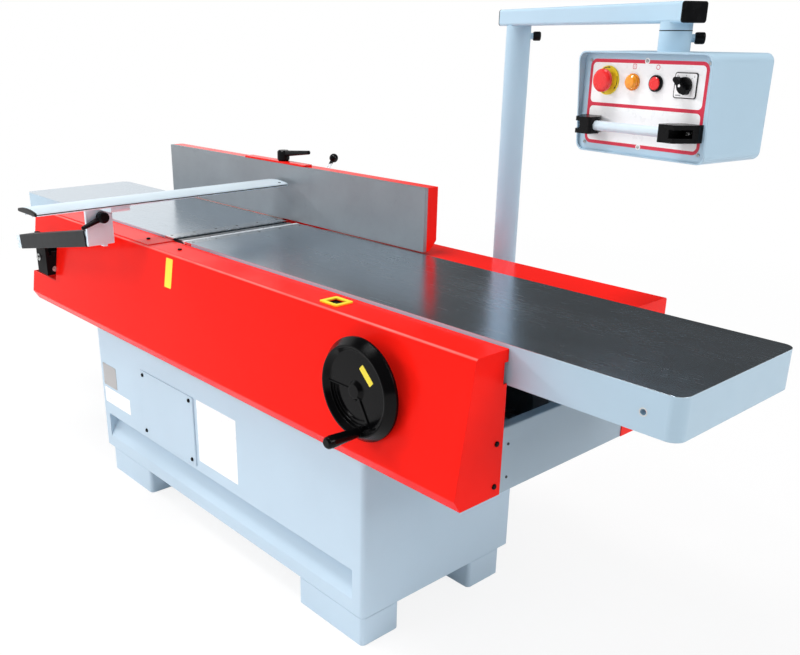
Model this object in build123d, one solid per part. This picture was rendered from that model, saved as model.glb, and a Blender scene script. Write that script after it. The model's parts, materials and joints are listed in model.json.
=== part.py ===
from build123d import *
import math
import os

# Surface planer: a floor machine whose long tables meet at a spinning cutterhead.
# Millimetres, +Z up, +X towards the infeed end, -Y towards the operator.
# While drawing, X = 0 is beside the table slot, Y = 0 is the table's centre line and Z = 0 the floor.
# The finished pieces are moved so that the origin is the middle of the footprint, on the floor.

# General clearances
RUN = 0.05  # radial gap of a shaft in its bore
SEAT = 0.02  # radial gap of a piece fixed on its shaft
SLIDE = 0.2  # gap on each side of a sliding bar
AIR = 0.4  # gap round a belt
FILM = 0.05  # oil film between a table runner and its way

# Base cabinet and feet
FOOT_H = 80.0
FOOT_L = 256.0
FOOT_W = 125.0
FOOT_R = 12.0
FOOT_T = 5.0
FOOT_SEAM = 2.5
FOOT_INSET_LEFT = 45.0
FOOT_INSET_REAR = 37.0
CAB_X0 = -373.0
CAB_L = 1351.0
CAB_FRONT_OUT = 107.0
CAB_REAR_IN = 12.0
CAB_H = 437.0
CAB_T = 3.0
CAB_R = 12.0
CAB_RIM_SIDE = 30.0
CAB_RIM_FRONT = 12.0
GROOVE_TOP = 123.0
GROOVE_H = 84.0
GROOVE_IN = 46.0
GROOVE_END = 39.0
PANEL_X0 = -80.0
PANEL_L = 304.0
PANEL_Z0 = 217.0
PANEL_H = 218.0
PANEL_T = 2.0
PANEL_LAP = 20.0
SCREW_R = 6.0
SCREW_H = 3.5
SCREW_INSET = 14.0
END_SCREW_IN = 20.0
END_SCREW_UP = (25.0, 123.0)

# Tables
TABLE_Z = 850.0
TABLE_W = 426.0
APRON_H = 86.0
APRON_T = 16.0
PLATE_T = 14.0
RIB_T = 10.0
RIB_H = 46.0
RIB_GAP = 185.0
INFEED_END = 1663.0
OUTFEED_END = -785.0
EXTENSION_L = 332.0
TABLE_R = 26.0
SLOT_X0 = -10.0
SLOT_W = 50.0
LIP_W = 50.0
LIP_T = 12.0
LIP_GAP = 2.5
LIP_SLOT_L = 14.0
LIP_SLOT_W = 4.0
LIP_SLOT_PITCH = 22.0
LIP_SLOT_IN = 8.0
TABLE_NOSE_GAP = 8.0
HANGER_HOLE_R = 6.0
HANGER_HOLE_IN = 72.0
HANGER_HOLE_DROP = 46.0

# Cutterhead
CUT_R = 62.5
KNIFE_OUT = 2.0
CUTTER_SIDE = 8.0
KNIFE_T = 3.0
KNIFE_H = 30.0
WEDGE_T = 12.0
WEDGE_H = 22.0
GULLET_R = 9.0
KNIFE_COUNT = 4
CUTTER_PHASE = 22.0
JOURNAL_R = 20.0
PULLEY_SEAT_R = 15.0

# Upper frame
FRAME_X0 = -797.0
FRAME_L = 2082.0
FRAME_T = 6.0
WALL_GAP = 2.0
REAR_GAP = 21.0
WALL_DROP = 26.0
END_H = 148.0
CHEEK_L = 220.0
HOUSING_L = 40.0
HOUSING_R = 44.0
HOUSING_PLATE = 112.0
HOUSING_PLATE_T = 12.0
BULKHEAD_GAP = 30.0

# Table supports
WAY_SLOPE = 8.0
WAY_L = 200.0
WAY_W = 60.0
WAY_IN = 83.0
WAY_DROP = 105.0
WAY_X = (230.0, 905.0)
WAY_FOOT = 24.0
WAY_RIM = 16.0
WAY_WEB = 12.0
SHAFT_BOSS_R = 20.0
RUNNER_IN = 6.0
PLANE_DEPTH = 5.0
PEDESTAL_X = (-720.0, -340.0)
PEDESTAL_L = 150.0

# Covers
COVER_T = 2.5
FLANGE_DROP = 8.0
RIDGE_OUT = 96.0
RIDGE_R = 7.0
SKIRT_OUT = 45.0
SKIRT_H = 30.0
SKIRT_R = 9.0
SKIRT_IN = 19.0
COVER_LIP = 6.0
BRACKET_GAP_L = 187.0
BRACKET_GAP_Z0 = 620.0
BRACKET_GAP_H = 130.0
NOTCH_W = 11.0
NOTCH_DROP = 27.0
NOTCH_H = 47.0
STRIP_T = 2.0
STRIP_END = -3.0
REAR_DEPTH = 126.0
REAR_R = 7.0
REAR_LAP = 6.0

# Belt drive
PULLEY_GAP = 7.0
PULLEY_W = 35.0
CUTTER_PULLEY_R = 42.0
MOTOR_PULLEY_R = 70.0
BELT_COUNT = 3
BELT_PITCH = 11.0
BELT_W = 7.0
BELT_DEEP = 6.5
BELT_OUT = 1.0
GROOVE_FLARE = 1.0
MOTOR_X = 72.0
MOTOR_Z = 326.0
MOTOR_R = 92.0
MOTOR_L = 290.0
MOTOR_GAP = 33.0
MOTOR_SHAFT_R = 14.0
MOTOR_SHAFT_IN = 25.0
FIN_COUNT = 20
FIN_H = 7.0
FIN_T = 4.0
MOTOR_FOOT_W = 44.0
MOTOR_FOOT_SPAN = 96.0
TERMINAL_L = 110.0
TERMINAL_W = 90.0
TERMINAL_H = 50.0
SHELF_DROP = 112.0
SHELF_T = 8.0
SHELF_W = 260.0
SHELF_EDGE = 30.0

# Chip hood
HOOD_OUT = 125.0
HOOD_TOP_DROP = 100.0
HOOD_BREAK_DROP = 150.0
HOOD_T = 2.0
HOOD_GAP = 3.0
SPIGOT_R = 60.0
SPIGOT_Z = 600.0
SPIGOT_OUT = 64.0
SPIGOT_AIR = 2.0
SPIGOT_STEP = 1.0

# Handwheel and its rack
WHEEL_X = 1002.0
WHEEL_Z = 705.0
WHEEL_OUT = 43.0
WHEEL_DEPTH = 25.0
WHEEL_R = 118.0
WHEEL_FRONT_R = 103.0
WHEEL_RIM = 15.0
WHEEL_WEB_T = 8.0
WHEEL_WEB_BACK = 6.0
WHEEL_HUB_R = 20.0
WHEEL_RECESS_FROM = 59.0
WHEEL_RECESS_SPAN = 121.0
WHEEL_RECESS_T = 5.0
WHEEL_RIB_W = (9.0, 4.0)
WHEEL_RIB_H = 3.0
WHEEL_RIDGE_R = (69.0, 79.0)
WHEEL_RIDGE_W = 4.0
SHAFT_R = 10.0
SHAFT_HOLE_AIR = 6.0
GRIP_R = 15.0
GRIP_NECK_R = 11.0
GRIP_L = 84.0
GRIP_AT = 91.0
GRIP_ANGLE = -79.0
GRIP_PIN_R = 4.0
GEAR_MODULE = 2.0
GEAR_TEETH = 12
GEAR_W = 24.0
GEAR_BACKLASH = 0.4
GEAR_TIP = 1.4
GEAR_ROOT = 2.0
RACK_T = 14.0
RACK_W = 20.0
RACK_TEETH = 14
RACK_LEAD = 3

# Depth scale window
SCALE_X = 812.0
SCALE_Y_IN = 49.0
SCALE_L = 62.0
SCALE_W = 54.0
SCALE_FRAME = 11.0
SCALE_T = 3.0

# Guard arm and its bracket
GUARD_X = -656.0
GUARD_Z = 760.0
GUARD_OUT = 35.0
GUARD_TILT = 10.4
GUARD_T = 40.0
GUARD_H = 43.0
GUARD_TAIL = 91.0
GUARD_REACH = 489.0
GUARD_GROOVE_H = 12.0
GUARD_GROOVE_D = 5.0
GUARD_PIN_R = 8.0
GUARD_COVER_X0 = -47.0
GUARD_COVER_L = 526.0
GUARD_COVER_T = 2.5
GUARD_COVER_AIR = 0.5
GUARD_COVER_FRONT = 2.5
BRACKET_T = 10.0
BRACKET_W = 78.0
BRACKET_UP = 20.0
BRACKET_RISE = 24.0
BRACKET_AIR = 3.0
BRACKET_RIB_T = 6.0
BRACKET_FOOT_L = 150.0
LINK_DROP = 14.0
LINK_H = 18.0
LINK_T = 6.0
LINK_PIN_R = 4.0
LINK_AIR = 2.0

# Bridge guard and its holder
HOLDER_AT = 474.0
HOLDER_LEFT = 26.0
HOLDER_DROP = 24.0
HOLDER_RISE = 22.0
HOLDER_T = 12.0
HOLDER_AIR = 2.0
HOLDER_END_OUT = 35.0
HOLDER_END_T = 10.0
HOLDER_END_D = 84.0
HOLDER_END_DROP = 17.5
SADDLE_D = 60.0
SADDLE_H = 14.0
SADDLE_RIM = 8.0
BRIDGE_W = 116.0
BRIDGE_X0 = -101.0
BRIDGE_OUT = 417.0
BRIDGE_END_IN = 17.0
BRIDGE_Z = 967.0
BRIDGE_RISE = 15.0
BRIDGE_T = 2.5
BRIDGE_EDGE = 9.0
BRIDGE_CORNER = 3.0
RAIL_GAP = 40.0
RAIL_T = 4.0
RAIL_H = 5.0
BRIDGE_CAP_T = 6.0
CLAMP_IN = 48.0
CLAMP_UP = 66.0
CLAMP_STUD_R = 6.0
CLAMP_HUB_R = 17.0
CLAMP_HUB_L = 25.0
CLAMP_LEVER_L = 74.0
CLAMP_LEVER_R = 7.0
CLAMP_LEAN = 20.0

# Fence
FENCE_X0 = -747.0
FENCE_L = 1362.0
FENCE_IN = 6.0
FENCE_GAP = 3.0
FENCE_H = 178.0
FENCE_PLATE_T = 12.0
FENCE_BOX_D = 39.0
FENCE_BOX_T = 2.5
FENCE_CHAMFER = 27.0
FENCE_BAY_X0 = -236.0
FENCE_BAY_L = 291.0
FENCE_CAP_T = 6.0
FENCE_CAP_D = 24.0
FENCE_CAP_LAP = 20.0
PIVOT_UP = 13.0
PIVOT_R = 7.0
LUG_T = 20.0
LUG_R = 10.0
LUG_H = 70.0
BAR_X = -118.0
BAR_W = 60.0
BAR_H = 30.0
BAR_UP = 18.0
BAR_REACH = 346.0
BAR_HEAD_W = 96.0
BAR_HEAD_L = 44.0
BAR_HEAD_FRONT = 5.0
BAR_HEAD_AIR = 1.0
LUG_AIR = 1.0
SUPPORT_W = 120.0
SUPPORT_D = 120.0
SUPPORT_FRONT = 50.0
SUPPORT_WALL = 14.0
SUPPORT_FOOT_T = 14.0
SUPPORT_FOOT_H = 100.0
TILT_CLAMP_X = -60.0
TILT_HUB_R = 20.0
TILT_HUB_H = 34.0
TILT_LEVER_L = 138.0
TILT_LEVER_RISE = 16.0
TILT_LEVER_R = 7.0
LOCK_IN = 14.0
LOCK_HUB_R = 15.0
LOCK_HUB_L = 16.0
LOCK_STUD_R = 7.0
LOCK_L = 188.0
LOCK_LEAN = 38.5
LOCK_ROD_R = 6.0
LOCK_BALL_R = 15.0

# Column, swing arm and pendant
COLUMN_X = 743.0
COLUMN_OUT = 52.0
COLUMN_R = 31.75
COLUMN_T = 3.0
COLUMN_Z0 = 580.0
COLUMN_Z1 = 1448.0
BRACKET_PLATE_W = 150.0
BRACKET_PLATE_T = 8.0
BRACKET_LUG_T = 12.0
BRACKET_LUG_R = 44.0
BRACKET_SPAN = 170.0
ARM_W = 60.0
ARM_H = 40.0
ARM_T = 3.0
ARM_R = 6.0
ARM_REACH = 615.0
ARM_TAIL = 52.0
ARM_NOSE = 46.0
ARM_YAW = -20.35
ARM_CAP_T = 5.0
ARM_PLUG_L = 12.0
SPIGOT_PIN_L = 60.0
COLLAR_H = 14.0
STUB_H = 40.0
STUB_PIN_L = 34.0
THUMB_STUD_R = 4.0
THUMB_R = 11.5
THUMB_L = 20.0
THUMB_BOSS_R = 8.0
THUMB_BOSS_L = 6.0
THUMB_DROP = 25.0
STUB_THUMB_DROP = 14.0
THUMB_YAW = 45.0
BOX_YAW = -7.8
BOX_W = 330.0
BOX_D = 190.0
BOX_H = 204.0
BOX_T = 2.0
BOX_R = 18.0
BOX_BACK = 15.0
BOX_RIM = 3.0
PLATE_IN = 20.0
PLATE_T_BOX = 3.0
ESTOP_X = -96.0
ESTOP_DROP = 57.0
ESTOP_BASE_R = 29.0
ESTOP_BASE_T = 3.0
ESTOP_R = 23.0
ESTOP_STEM_R = 10.0
ESTOP_GAP = 9.0
ESTOP_HEAD_L = 13.0
STEM_IN = 8.0
LAMP_X = -30.0
LAMP_DROP = 58.0
LAMP_R = 16.5
LAMP_BASE_T = 4.0
LAMP_DOME = 11.0
STOP_X = 28.0
STOP_DROP = 58.5
STOP_BEZEL_R = 16.0
STOP_R = 12.5
STOP_BEZEL_T = 6.0
STOP_PROUD = 2.5
ROTARY_X = 98.0
ROTARY_DROP = 59.5
ROTARY_W = 52.0
ROTARY_H = 48.0
ROTARY_T = 2.0
ROTARY_CORNER = 5.0
ROTARY_R = 16.0
ROTARY_BAR_W = 10.0
ROTARY_BAR_L = 42.0
ROTARY_HUB_L = 7.0
ROTARY_BAR_H = 12.0
ROTARY_SHAFT_R = 5.0
ROTARY_TURN = 45.0
GRAB_DROP = 146.0
GRAB_R = 10.0
GRAB_OUT = 36.0
GRAB_X0 = -150.0
GRAB_SPAN = 300.0
GRAB_FOOT_W = 64.0
GRAB_FOOT_H = 34.0
GRAB_NOSE = 9.0
GRAB_SOCKET = 20.0
GRAB_CORNER = 5.0
GRAB_POCKET_L = 30.0
GRAB_POCKET_H = 16.0
GRAB_POCKET_IN = 6.0
GRAB_FLOOR = 6.0

# Places that follow from the sizes
HALF_W = TABLE_W / 2
CAB_X1 = CAB_X0 + CAB_L
CAB_Z1 = FOOT_H + CAB_H
FRAME_X1 = FRAME_X0 + FRAME_L
FLOOR_Z = CAB_Z1 + FRAME_T
FRONT_IN = -HALF_W - WALL_GAP
FRONT_OUT = FRONT_IN - FRAME_T
REAR_IN = HALF_W + REAR_GAP
REAR_OUT = REAR_IN + FRAME_T
CAB_Y0 = FRONT_IN - CAB_FRONT_OUT
CAB_Y1 = REAR_OUT - CAB_REAR_IN
WALL_TOP = TABLE_Z - APRON_H - WALL_DROP
FLANGE_Z = TABLE_Z - FLANGE_DROP
RIDGE_Y = FRONT_IN - RIDGE_OUT
SKIRT_Y = RIDGE_Y - SKIRT_OUT
SKIRT_Z = CAB_Z1 + SKIRT_H
REAR_Y = REAR_OUT + REAR_DEPTH
WHEEL_BACK_Y = RIDGE_Y - WHEEL_OUT
GUARD_Y = SKIRT_Y - GUARD_OUT
COLUMN_Y = REAR_Y + COLUMN_OUT
BAR_REAR_Y = REAR_Y + BAR_REACH
BRIDGE_Y0 = -HALF_W - BRIDGE_OUT
BRIDGE_L = TABLE_W + BRIDGE_OUT - BRIDGE_END_IN
CUTTER_X = SLOT_X0 + SLOT_W / 2
CUTTER_Z = TABLE_Z - CUT_R
CUTTER_L = TABLE_W - 2 * CUTTER_SIDE
BODY_R = CUT_R - KNIFE_OUT
HOUSING_Y = FRONT_OUT - HOUSING_L
PULLEY_Y1 = HOUSING_Y - PULLEY_GAP
PULLEY_Y0 = PULLEY_Y1 - PULLEY_W
WAY_Y = HALF_W - WAY_IN
WAY_TOP = TABLE_Z - WAY_DROP
SLIDE_TRAVEL = PLANE_DEPTH / math.sin(math.radians(WAY_SLOPE))
SHELF_Z = MOTOR_Z - SHELF_DROP
PITCH_R = GEAR_MODULE * GEAR_TEETH / 2
GEAR_PITCH = GEAR_MODULE * math.pi
RACK_Y1 = WAY_W / 2 - WAY_Y + GEAR_W + RUN + RACK_W / 2
FENCE_Y = HALF_W + FENCE_IN
FENCE_Z0 = TABLE_Z + FENCE_GAP
FENCE_Z1 = FENCE_Z0 + FENCE_H
FENCE_BACK = FENCE_Y + FENCE_PLATE_T
PIVOT_Y = FENCE_BACK + LUG_R + LUG_AIR
PIVOT_Z = FENCE_Z0 + PIVOT_UP
BAR_Z0 = TABLE_Z + BAR_UP
BAR_HEAD_Y0 = FENCE_BACK + BAR_HEAD_FRONT
BAR_HEAD_Y1 = BAR_HEAD_Y0 + BAR_HEAD_L
SUPPORT_Y0 = REAR_Y - SUPPORT_FRONT
LOCK_Y = SUPPORT_Y0 + LOCK_IN
HOLDER_X = GUARD_X + HOLDER_AT * math.cos(math.radians(GUARD_TILT))
HOLDER_Z = GUARD_Z + HOLDER_AT * math.sin(math.radians(GUARD_TILT))
GUARD_BACK = GUARD_Y + GUARD_T / 2
GUARD_FRONT = GUARD_Y - GUARD_T / 2
HOLDER_Y0 = GUARD_BACK + HOLDER_AIR
HOLDER_Y1 = HOLDER_Y0 + HOLDER_T
LINK_Y0 = HOLDER_Y1 + LINK_AIR
HOLDER_END_X1 = HOLDER_X + HOLDER_END_OUT
HOLDER_END_X0 = HOLDER_END_X1 - HOLDER_END_T
HOLDER_END_Y0 = GUARD_FRONT - GUARD_COVER_FRONT - GUARD_COVER_T - HOLDER_AIR
CLAMP_Y = HOLDER_END_Y0 + CLAMP_IN
CLAMP_Z = HOLDER_Z + CLAMP_UP
BRIDGE_MID = BRIDGE_X0 + BRIDGE_W / 2
ARM_Z0 = COLUMN_Z1
STUB_X = COLUMN_X + ARM_REACH * math.cos(math.radians(ARM_YAW))
STUB_Y = COLUMN_Y + ARM_REACH * math.sin(math.radians(ARM_YAW))
STUB_Z1 = ARM_Z0 - COLLAR_H
BOX_Z1 = STUB_Z1 - STUB_H
BOX_Z0 = BOX_Z1 - BOX_H
BOX_FRONT = -BOX_D / 2
PLATE_V = BOX_FRONT + PLATE_IN
EXTENSION_END = OUTFEED_END - EXTENSION_L
BRIDGE_FRONT = BRIDGE_Y0 - BRIDGE_CAP_T
ORIGIN_X = (INFEED_END + EXTENSION_END) / 2
ORIGIN_Y = (BRIDGE_FRONT + BAR_REAR_Y) / 2


def block(x0, x1, y0, y1, z0, z1):
    """A rectangular block between two corners."""
    return Pos((x0 + x1) / 2, (y0 + y1) / 2, (z0 + z1) / 2) * Box(x1 - x0, y1 - y0, z1 - z0)


def rod_x(x0, x1, y, z, r):
    """A round bar along X."""
    return Pos((x0 + x1) / 2, y, z) * Rot(0, 90, 0) * Cylinder(r, x1 - x0)


def rod_y(y0, y1, x, z, r):
    """A round bar along Y."""
    return Pos(x, (y0 + y1) / 2, z) * Rot(90, 0, 0) * Cylinder(r, y1 - y0)


def rod_z(z0, z1, x, y, r):
    """A round bar along Z."""
    return Pos(x, y, (z0 + z1) / 2) * Cylinder(r, z1 - z0)


def prism_x(outline, x0, x1):
    """An outline in Y and Z, drawn out along X."""
    return extrude(Plane.YZ.offset(x0) * outline, x1 - x0, dir=(1, 0, 0))


def prism_y(outline, y0, y1):
    """An outline in X and Z, drawn out along Y."""
    return extrude(Plane.XZ.offset(-y0) * outline, y1 - y0, dir=(0, 1, 0))


def shape(*points):
    """A closed outline through the points given."""
    return Polygon(*points, align=None)


def upright_edges(body):
    """The edges of a body that run along Z."""
    return body.edges().filter_by(Axis.Z)


def base_cabinet():
    """Welded sheet cabinet with a toe groove along the front, an access opening and the motor's shelf."""
    body = block(CAB_X0, CAB_X1, CAB_Y0, CAB_Y1, FOOT_H, CAB_Z1)
    body = fillet(upright_edges(body), CAB_R)
    room = block(CAB_X0 + CAB_T, CAB_X1 - CAB_T, CAB_Y0 + CAB_T, CAB_Y1 - CAB_T, FOOT_H + CAB_T,
                 CAB_Z1 - CAB_T)
    room = fillet(upright_edges(room), CAB_R - CAB_T)
    top = FOOT_H + GROOVE_TOP
    outer = GROOVE_H * CAB_T / GROOVE_IN
    wedge = shape((CAB_Y0 - CAB_T, top), (CAB_Y0 + GROOVE_IN, top), (CAB_Y0 - CAB_T, top - GROOVE_H - outer))
    groove = prism_x(wedge, CAB_X0 + GROOVE_END, CAB_X1 - GROOVE_END)
    back = prism_x(offset(wedge, CAB_T, kind=Kind.INTERSECTION), CAB_X0 + GROOVE_END - CAB_T,
                   CAB_X1 - GROOVE_END + CAB_T)
    mouth = block(CAB_X0 + CAB_RIM_SIDE, CAB_X1 - CAB_RIM_SIDE, CAB_Y0 + CAB_RIM_FRONT, CAB_Y1 - CAB_RIM_SIDE,
                  CAB_Z1 - 2 * CAB_T, CAB_Z1 + CAB_T)
    window = block(PANEL_X0 + PANEL_LAP, PANEL_X0 + PANEL_L - PANEL_LAP, CAB_Y0 - CAB_T, CAB_Y0 + 2 * CAB_T,
                   PANEL_Z0 + PANEL_LAP, PANEL_Z0 + PANEL_H - PANEL_LAP)
    return body - groove - (room - back) - mouth - window + motor_shelf()


def base_feet():
    """Four box feet, open on top, under the cabinet floor."""
    feet = []
    for x0 in (CAB_X0 + FOOT_INSET_LEFT, CAB_X1 - FOOT_L):
        for y0 in (CAB_Y0, CAB_Y1 - FOOT_INSET_REAR - FOOT_W):
            foot = block(x0, x0 + FOOT_L, y0, y0 + FOOT_W, 0, FOOT_H)
            foot = fillet(upright_edges(foot), FOOT_R)
            foot = chamfer(foot.edges().group_by(Axis.Z)[-1], FOOT_SEAM)
            room = block(x0 + FOOT_T, x0 + FOOT_L - FOOT_T, y0 + FOOT_T, y0 + FOOT_W - FOOT_T, FOOT_T,
                         FOOT_H + FOOT_T)
            feet.append(foot - fillet(upright_edges(room), FOOT_R - FOOT_T))
    return feet


def access_panel():
    """Cover plate over the opening in front of the drive."""
    return block(PANEL_X0, PANEL_X0 + PANEL_L, CAB_Y0 - PANEL_T, CAB_Y0, PANEL_Z0, PANEL_Z0 + PANEL_H)


def cover_screws():
    """Button-head screws of the panel, the front cover's end and its top strip."""
    places = []
    for x in (PANEL_X0 + SCREW_INSET, PANEL_X0 + PANEL_L - SCREW_INSET):
        for z in (PANEL_Z0 + SCREW_INSET, PANEL_Z0 + PANEL_H - SCREW_INSET):
            places.append(Pos(x, CAB_Y0 - PANEL_T, z) * Rot(90, 0, 0))
    for up in END_SCREW_UP:
        places.append(Pos(FRAME_X1 + COVER_T, FRONT_IN - END_SCREW_IN, CAB_Z1 + up) * Rot(0, 90, 0))
    strip_y = FRONT_IN - RIDGE_OUT / 2
    places.append(Pos(STRIP_END - 5 * SCREW_INSET, strip_y, FLANGE_Z + STRIP_T))
    places.append(Pos(STRIP_END + 8 * SCREW_INSET, strip_y, FLANGE_Z))
    head = rod_z(0, SCREW_H, 0, 0, SCREW_R)
    head = chamfer(head.edges().group_by(Axis.Z)[-1], SCREW_H / 3)
    return [p * head for p in places]


def way_outline(x0):
    """Side view of one inclined way on its pedestal."""
    drop = WAY_L * math.tan(math.radians(WAY_SLOPE))
    return shape((x0, WAY_TOP), (x0 + WAY_L, WAY_TOP - drop), (x0 + WAY_L + WAY_FOOT, FLOOR_Z),
                 (x0 - WAY_FOOT, FLOOR_Z))


def pedestal(outline, y):
    """A pedestal of I section: a rim all round and a web in the middle."""
    body = prism_y(outline, y - WAY_W / 2, y + WAY_W / 2)
    pocket = offset(outline, -WAY_RIM, kind=Kind.INTERSECTION)
    for side in (-1, 1):
        face = y + side * WAY_W / 2
        web = y + side * WAY_WEB / 2
        body -= prism_y(pocket, min(face, web), max(face, web))
    return body


def upper_frame():
    """Welded bed: floor, side walls with bearing cheeks, end plates and bulkheads."""
    x0 = FRAME_X0
    x1 = FRAME_X1
    body = block(x0, x1, FRONT_OUT, REAR_OUT, CAB_Z1, FLOOR_Z)
    cheek_top = FLANGE_Z - COVER_T
    for y0 in (FRONT_OUT, REAR_IN):
        body += block(x0, x1, y0, y0 + FRAME_T, FLOOR_Z, WALL_TOP)
        body += block(CUTTER_X - CHEEK_L / 2, CUTTER_X + CHEEK_L / 2, y0, y0 + FRAME_T, WALL_TOP, cheek_top)
    for end in (x0, x1 - FRAME_T):
        body += block(end, end + FRAME_T, FRONT_OUT, REAR_OUT, FLOOR_Z, CAB_Z1 + END_H)
    for side in (-1, 1):
        edge = CUTTER_X + side * (HOOD_OUT + BULKHEAD_GAP)
        body += block(edge - FRAME_T / 2, edge + FRAME_T / 2, FRONT_IN, REAR_IN, FLOOR_Z,
                      WALL_TOP - 2 * WALL_DROP)
    body -= rod_y(FRONT_OUT - FRAME_T, REAR_OUT + FRAME_T, CUTTER_X, CUTTER_Z, JOURNAL_R + SPIGOT_AIR)
    body -= rod_y(REAR_IN - FRAME_T, REAR_OUT + FRAME_T, CUTTER_X, SPIGOT_Z, SPIGOT_R + SPIGOT_AIR)
    return body - rod_y(FRONT_OUT - FRAME_T, 0, WHEEL_X, WHEEL_Z, SHAFT_R + RUN)


def table_pedestals():
    """Cast pedestals: level ones for the outfeed table and inclined ways for the infeed table."""
    bodies = []
    boss = rod_y(-WAY_Y - WAY_W / 2, WAY_W / 2 - WAY_Y, WHEEL_X, WHEEL_Z, SHAFT_BOSS_R)
    bore = rod_y(FRONT_OUT, 0, WHEEL_X, WHEEL_Z, SHAFT_R + RUN)
    for y in (-WAY_Y, WAY_Y):
        for way in WAY_X:
            body = pedestal(way_outline(way), y)
            if y < 0 and way < WHEEL_X < way + WAY_L:
                body = body + boss - bore
            bodies.append(body)
        for left in PEDESTAL_X:
            foot = shape((left, WAY_TOP), (left + PEDESTAL_L, WAY_TOP),
                         (left + PEDESTAL_L + WAY_FOOT, FLOOR_Z),
                         (left - WAY_FOOT, FLOOR_Z))
            bodies.append(pedestal(foot, y))
    return bodies


def front_cover():
    """Folded sheet cover along the operator's side, with closed ends and an open back."""
    x0 = FRAME_X0 - COVER_T
    x1 = FRAME_X1 + COVER_T
    outline = shape((FRONT_IN, CAB_Z1), (FRONT_IN, FLANGE_Z), (RIDGE_Y, FLANGE_Z), (SKIRT_Y, SKIRT_Z),
                    (SKIRT_Y + SKIRT_IN, CAB_Z1))
    by_y = outline.vertices().sort_by(Axis.X)
    outline = fillet(by_y[0], SKIRT_R)
    ridge = outline.vertices().filter_by(lambda v: abs(v.X - RIDGE_Y) < 0.01)
    outline = fillet(ridge, RIDGE_R)
    inner = offset(outline, -COVER_T, kind=Kind.INTERSECTION)
    body = prism_x(outline, x0, x1)
    body -= prism_x(inner, FRAME_X0, FRAME_X1)
    body -= block(FRAME_X0, FRAME_X1, FRONT_IN - 2 * COVER_T, FRONT_IN + COVER_T, CAB_Z1 - COVER_T,
                  FLANGE_Z - COVER_T)
    body -= block(FRAME_X0, FRAME_X1, SKIRT_Y + SKIRT_IN + COVER_LIP, FRONT_IN, CAB_Z1 - COVER_T,
                  CAB_Z1 + 2 * COVER_T)
    body -= block(x0 - COVER_T, x0 + BRACKET_GAP_L, SKIRT_Y, FRONT_OUT - COVER_T, BRACKET_GAP_Z0,
                  BRACKET_GAP_Z0 + BRACKET_GAP_H)
    notch_top = FLANGE_Z - NOTCH_DROP
    body -= block(FRAME_X1 - COVER_T, x1 + COVER_T, FRONT_IN - NOTCH_W, FRONT_IN + COVER_T,
                  notch_top - NOTCH_H, notch_top)
    body -= rod_y(SKIRT_Y, RIDGE_Y + RIDGE_OUT / 2, WHEEL_X, WHEEL_Z, SHAFT_R + SHAFT_HOLE_AIR)
    scale_y = FRONT_IN - SCALE_Y_IN
    body -= block(SCALE_X - SCALE_L / 2 + SCALE_FRAME, SCALE_X + SCALE_L / 2 - SCALE_FRAME,
                  scale_y - SCALE_W / 2 + SCALE_FRAME, scale_y + SCALE_W / 2 - SCALE_FRAME,
                  FLANGE_Z - 2 * COVER_T, FLANGE_Z + COVER_T)
    return body


def outfeed_cover_strip():
    """Flat strip laid on the front cover beside the outfeed table."""
    return block(FRAME_X0, STRIP_END, RIDGE_Y + RIDGE_R, FRONT_IN, FLANGE_Z, FLANGE_Z + STRIP_T)


def rear_cover():
    """Folded sheet cover along the back, with closed ends and a top flange."""
    x0 = FRAME_X0 - COVER_T
    x1 = FRAME_X1 + COVER_T
    body = block(x0, x1, REAR_OUT - REAR_LAP, REAR_Y, CAB_Z1, FLANGE_Z)
    edge = body.edges().filter_by(Axis.X).sort_by(Axis.Z)[-2:].sort_by(Axis.Y)[-1]
    body = fillet(edge, REAR_R)
    body -= block(FRAME_X0, FRAME_X1, REAR_OUT - 2 * REAR_LAP, REAR_Y - COVER_T, CAB_Z1 - COVER_T,
                  FLANGE_Z - COVER_T)
    body += block(FRAME_X0, FRAME_X1, HALF_W + WALL_GAP, REAR_OUT, FLANGE_Z - COVER_T, FLANGE_Z)
    return body - rod_y(REAR_Y - 2 * COVER_T, REAR_Y + COVER_T, CUTTER_X, SPIGOT_Z, SPIGOT_R + SPIGOT_AIR)


def casting(x0, x1, rounded):
    """A table casting: a plate with aprons, hollowed from below between ribs."""
    low = TABLE_Z - APRON_H
    under = TABLE_Z - PLATE_T
    body = block(x0, x1, -HALF_W, HALF_W, low, TABLE_Z)
    if rounded:
        body = fillet(upright_edges(body).group_by(Axis.X)[-1], TABLE_R)
    body -= block(x0 + APRON_T, x1 - APRON_T, APRON_T - HALF_W, HALF_W - APRON_T, low - RIB_T, under - RIB_H)
    length = x1 - x0 - 2 * APRON_T
    bays = max(1, round(length / RIB_GAP))
    bay = (length + RIB_T) / bays
    lane = (TABLE_W - 2 * APRON_T + RIB_T) / 3
    for i in range(bays):
        for j in range(3):
            left = x0 + APRON_T + i * bay
            front = APRON_T - HALF_W + j * lane
            body -= block(left, left + bay - RIB_T, front, front + lane - RIB_T, under - RIB_H - RIB_T, under)
    return body


def nose(x0, x1):
    """The ledge that carries a table lip, cleared round the cutterhead."""
    body = block(x0, x1, -HALF_W, HALF_W, TABLE_Z - LIP_T - PLATE_T, TABLE_Z - LIP_T)
    return body - rod_y(-HALF_W - 1, HALF_W + 1, CUTTER_X, CUTTER_Z, CUT_R + TABLE_NOSE_GAP)


def outfeed_table():
    """Fixed table behind the cutterhead, on four pedestals."""
    end = SLOT_X0 - LIP_W
    body = casting(OUTFEED_END, end, False)
    body += nose(end - APRON_T, SLOT_X0)
    for left in PEDESTAL_X:
        for y in (-WAY_Y, WAY_Y):
            body += block(left, left + PEDESTAL_L, y - WAY_W / 2, y + WAY_W / 2, WAY_TOP, TABLE_Z - PLATE_T)
    return body


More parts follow.
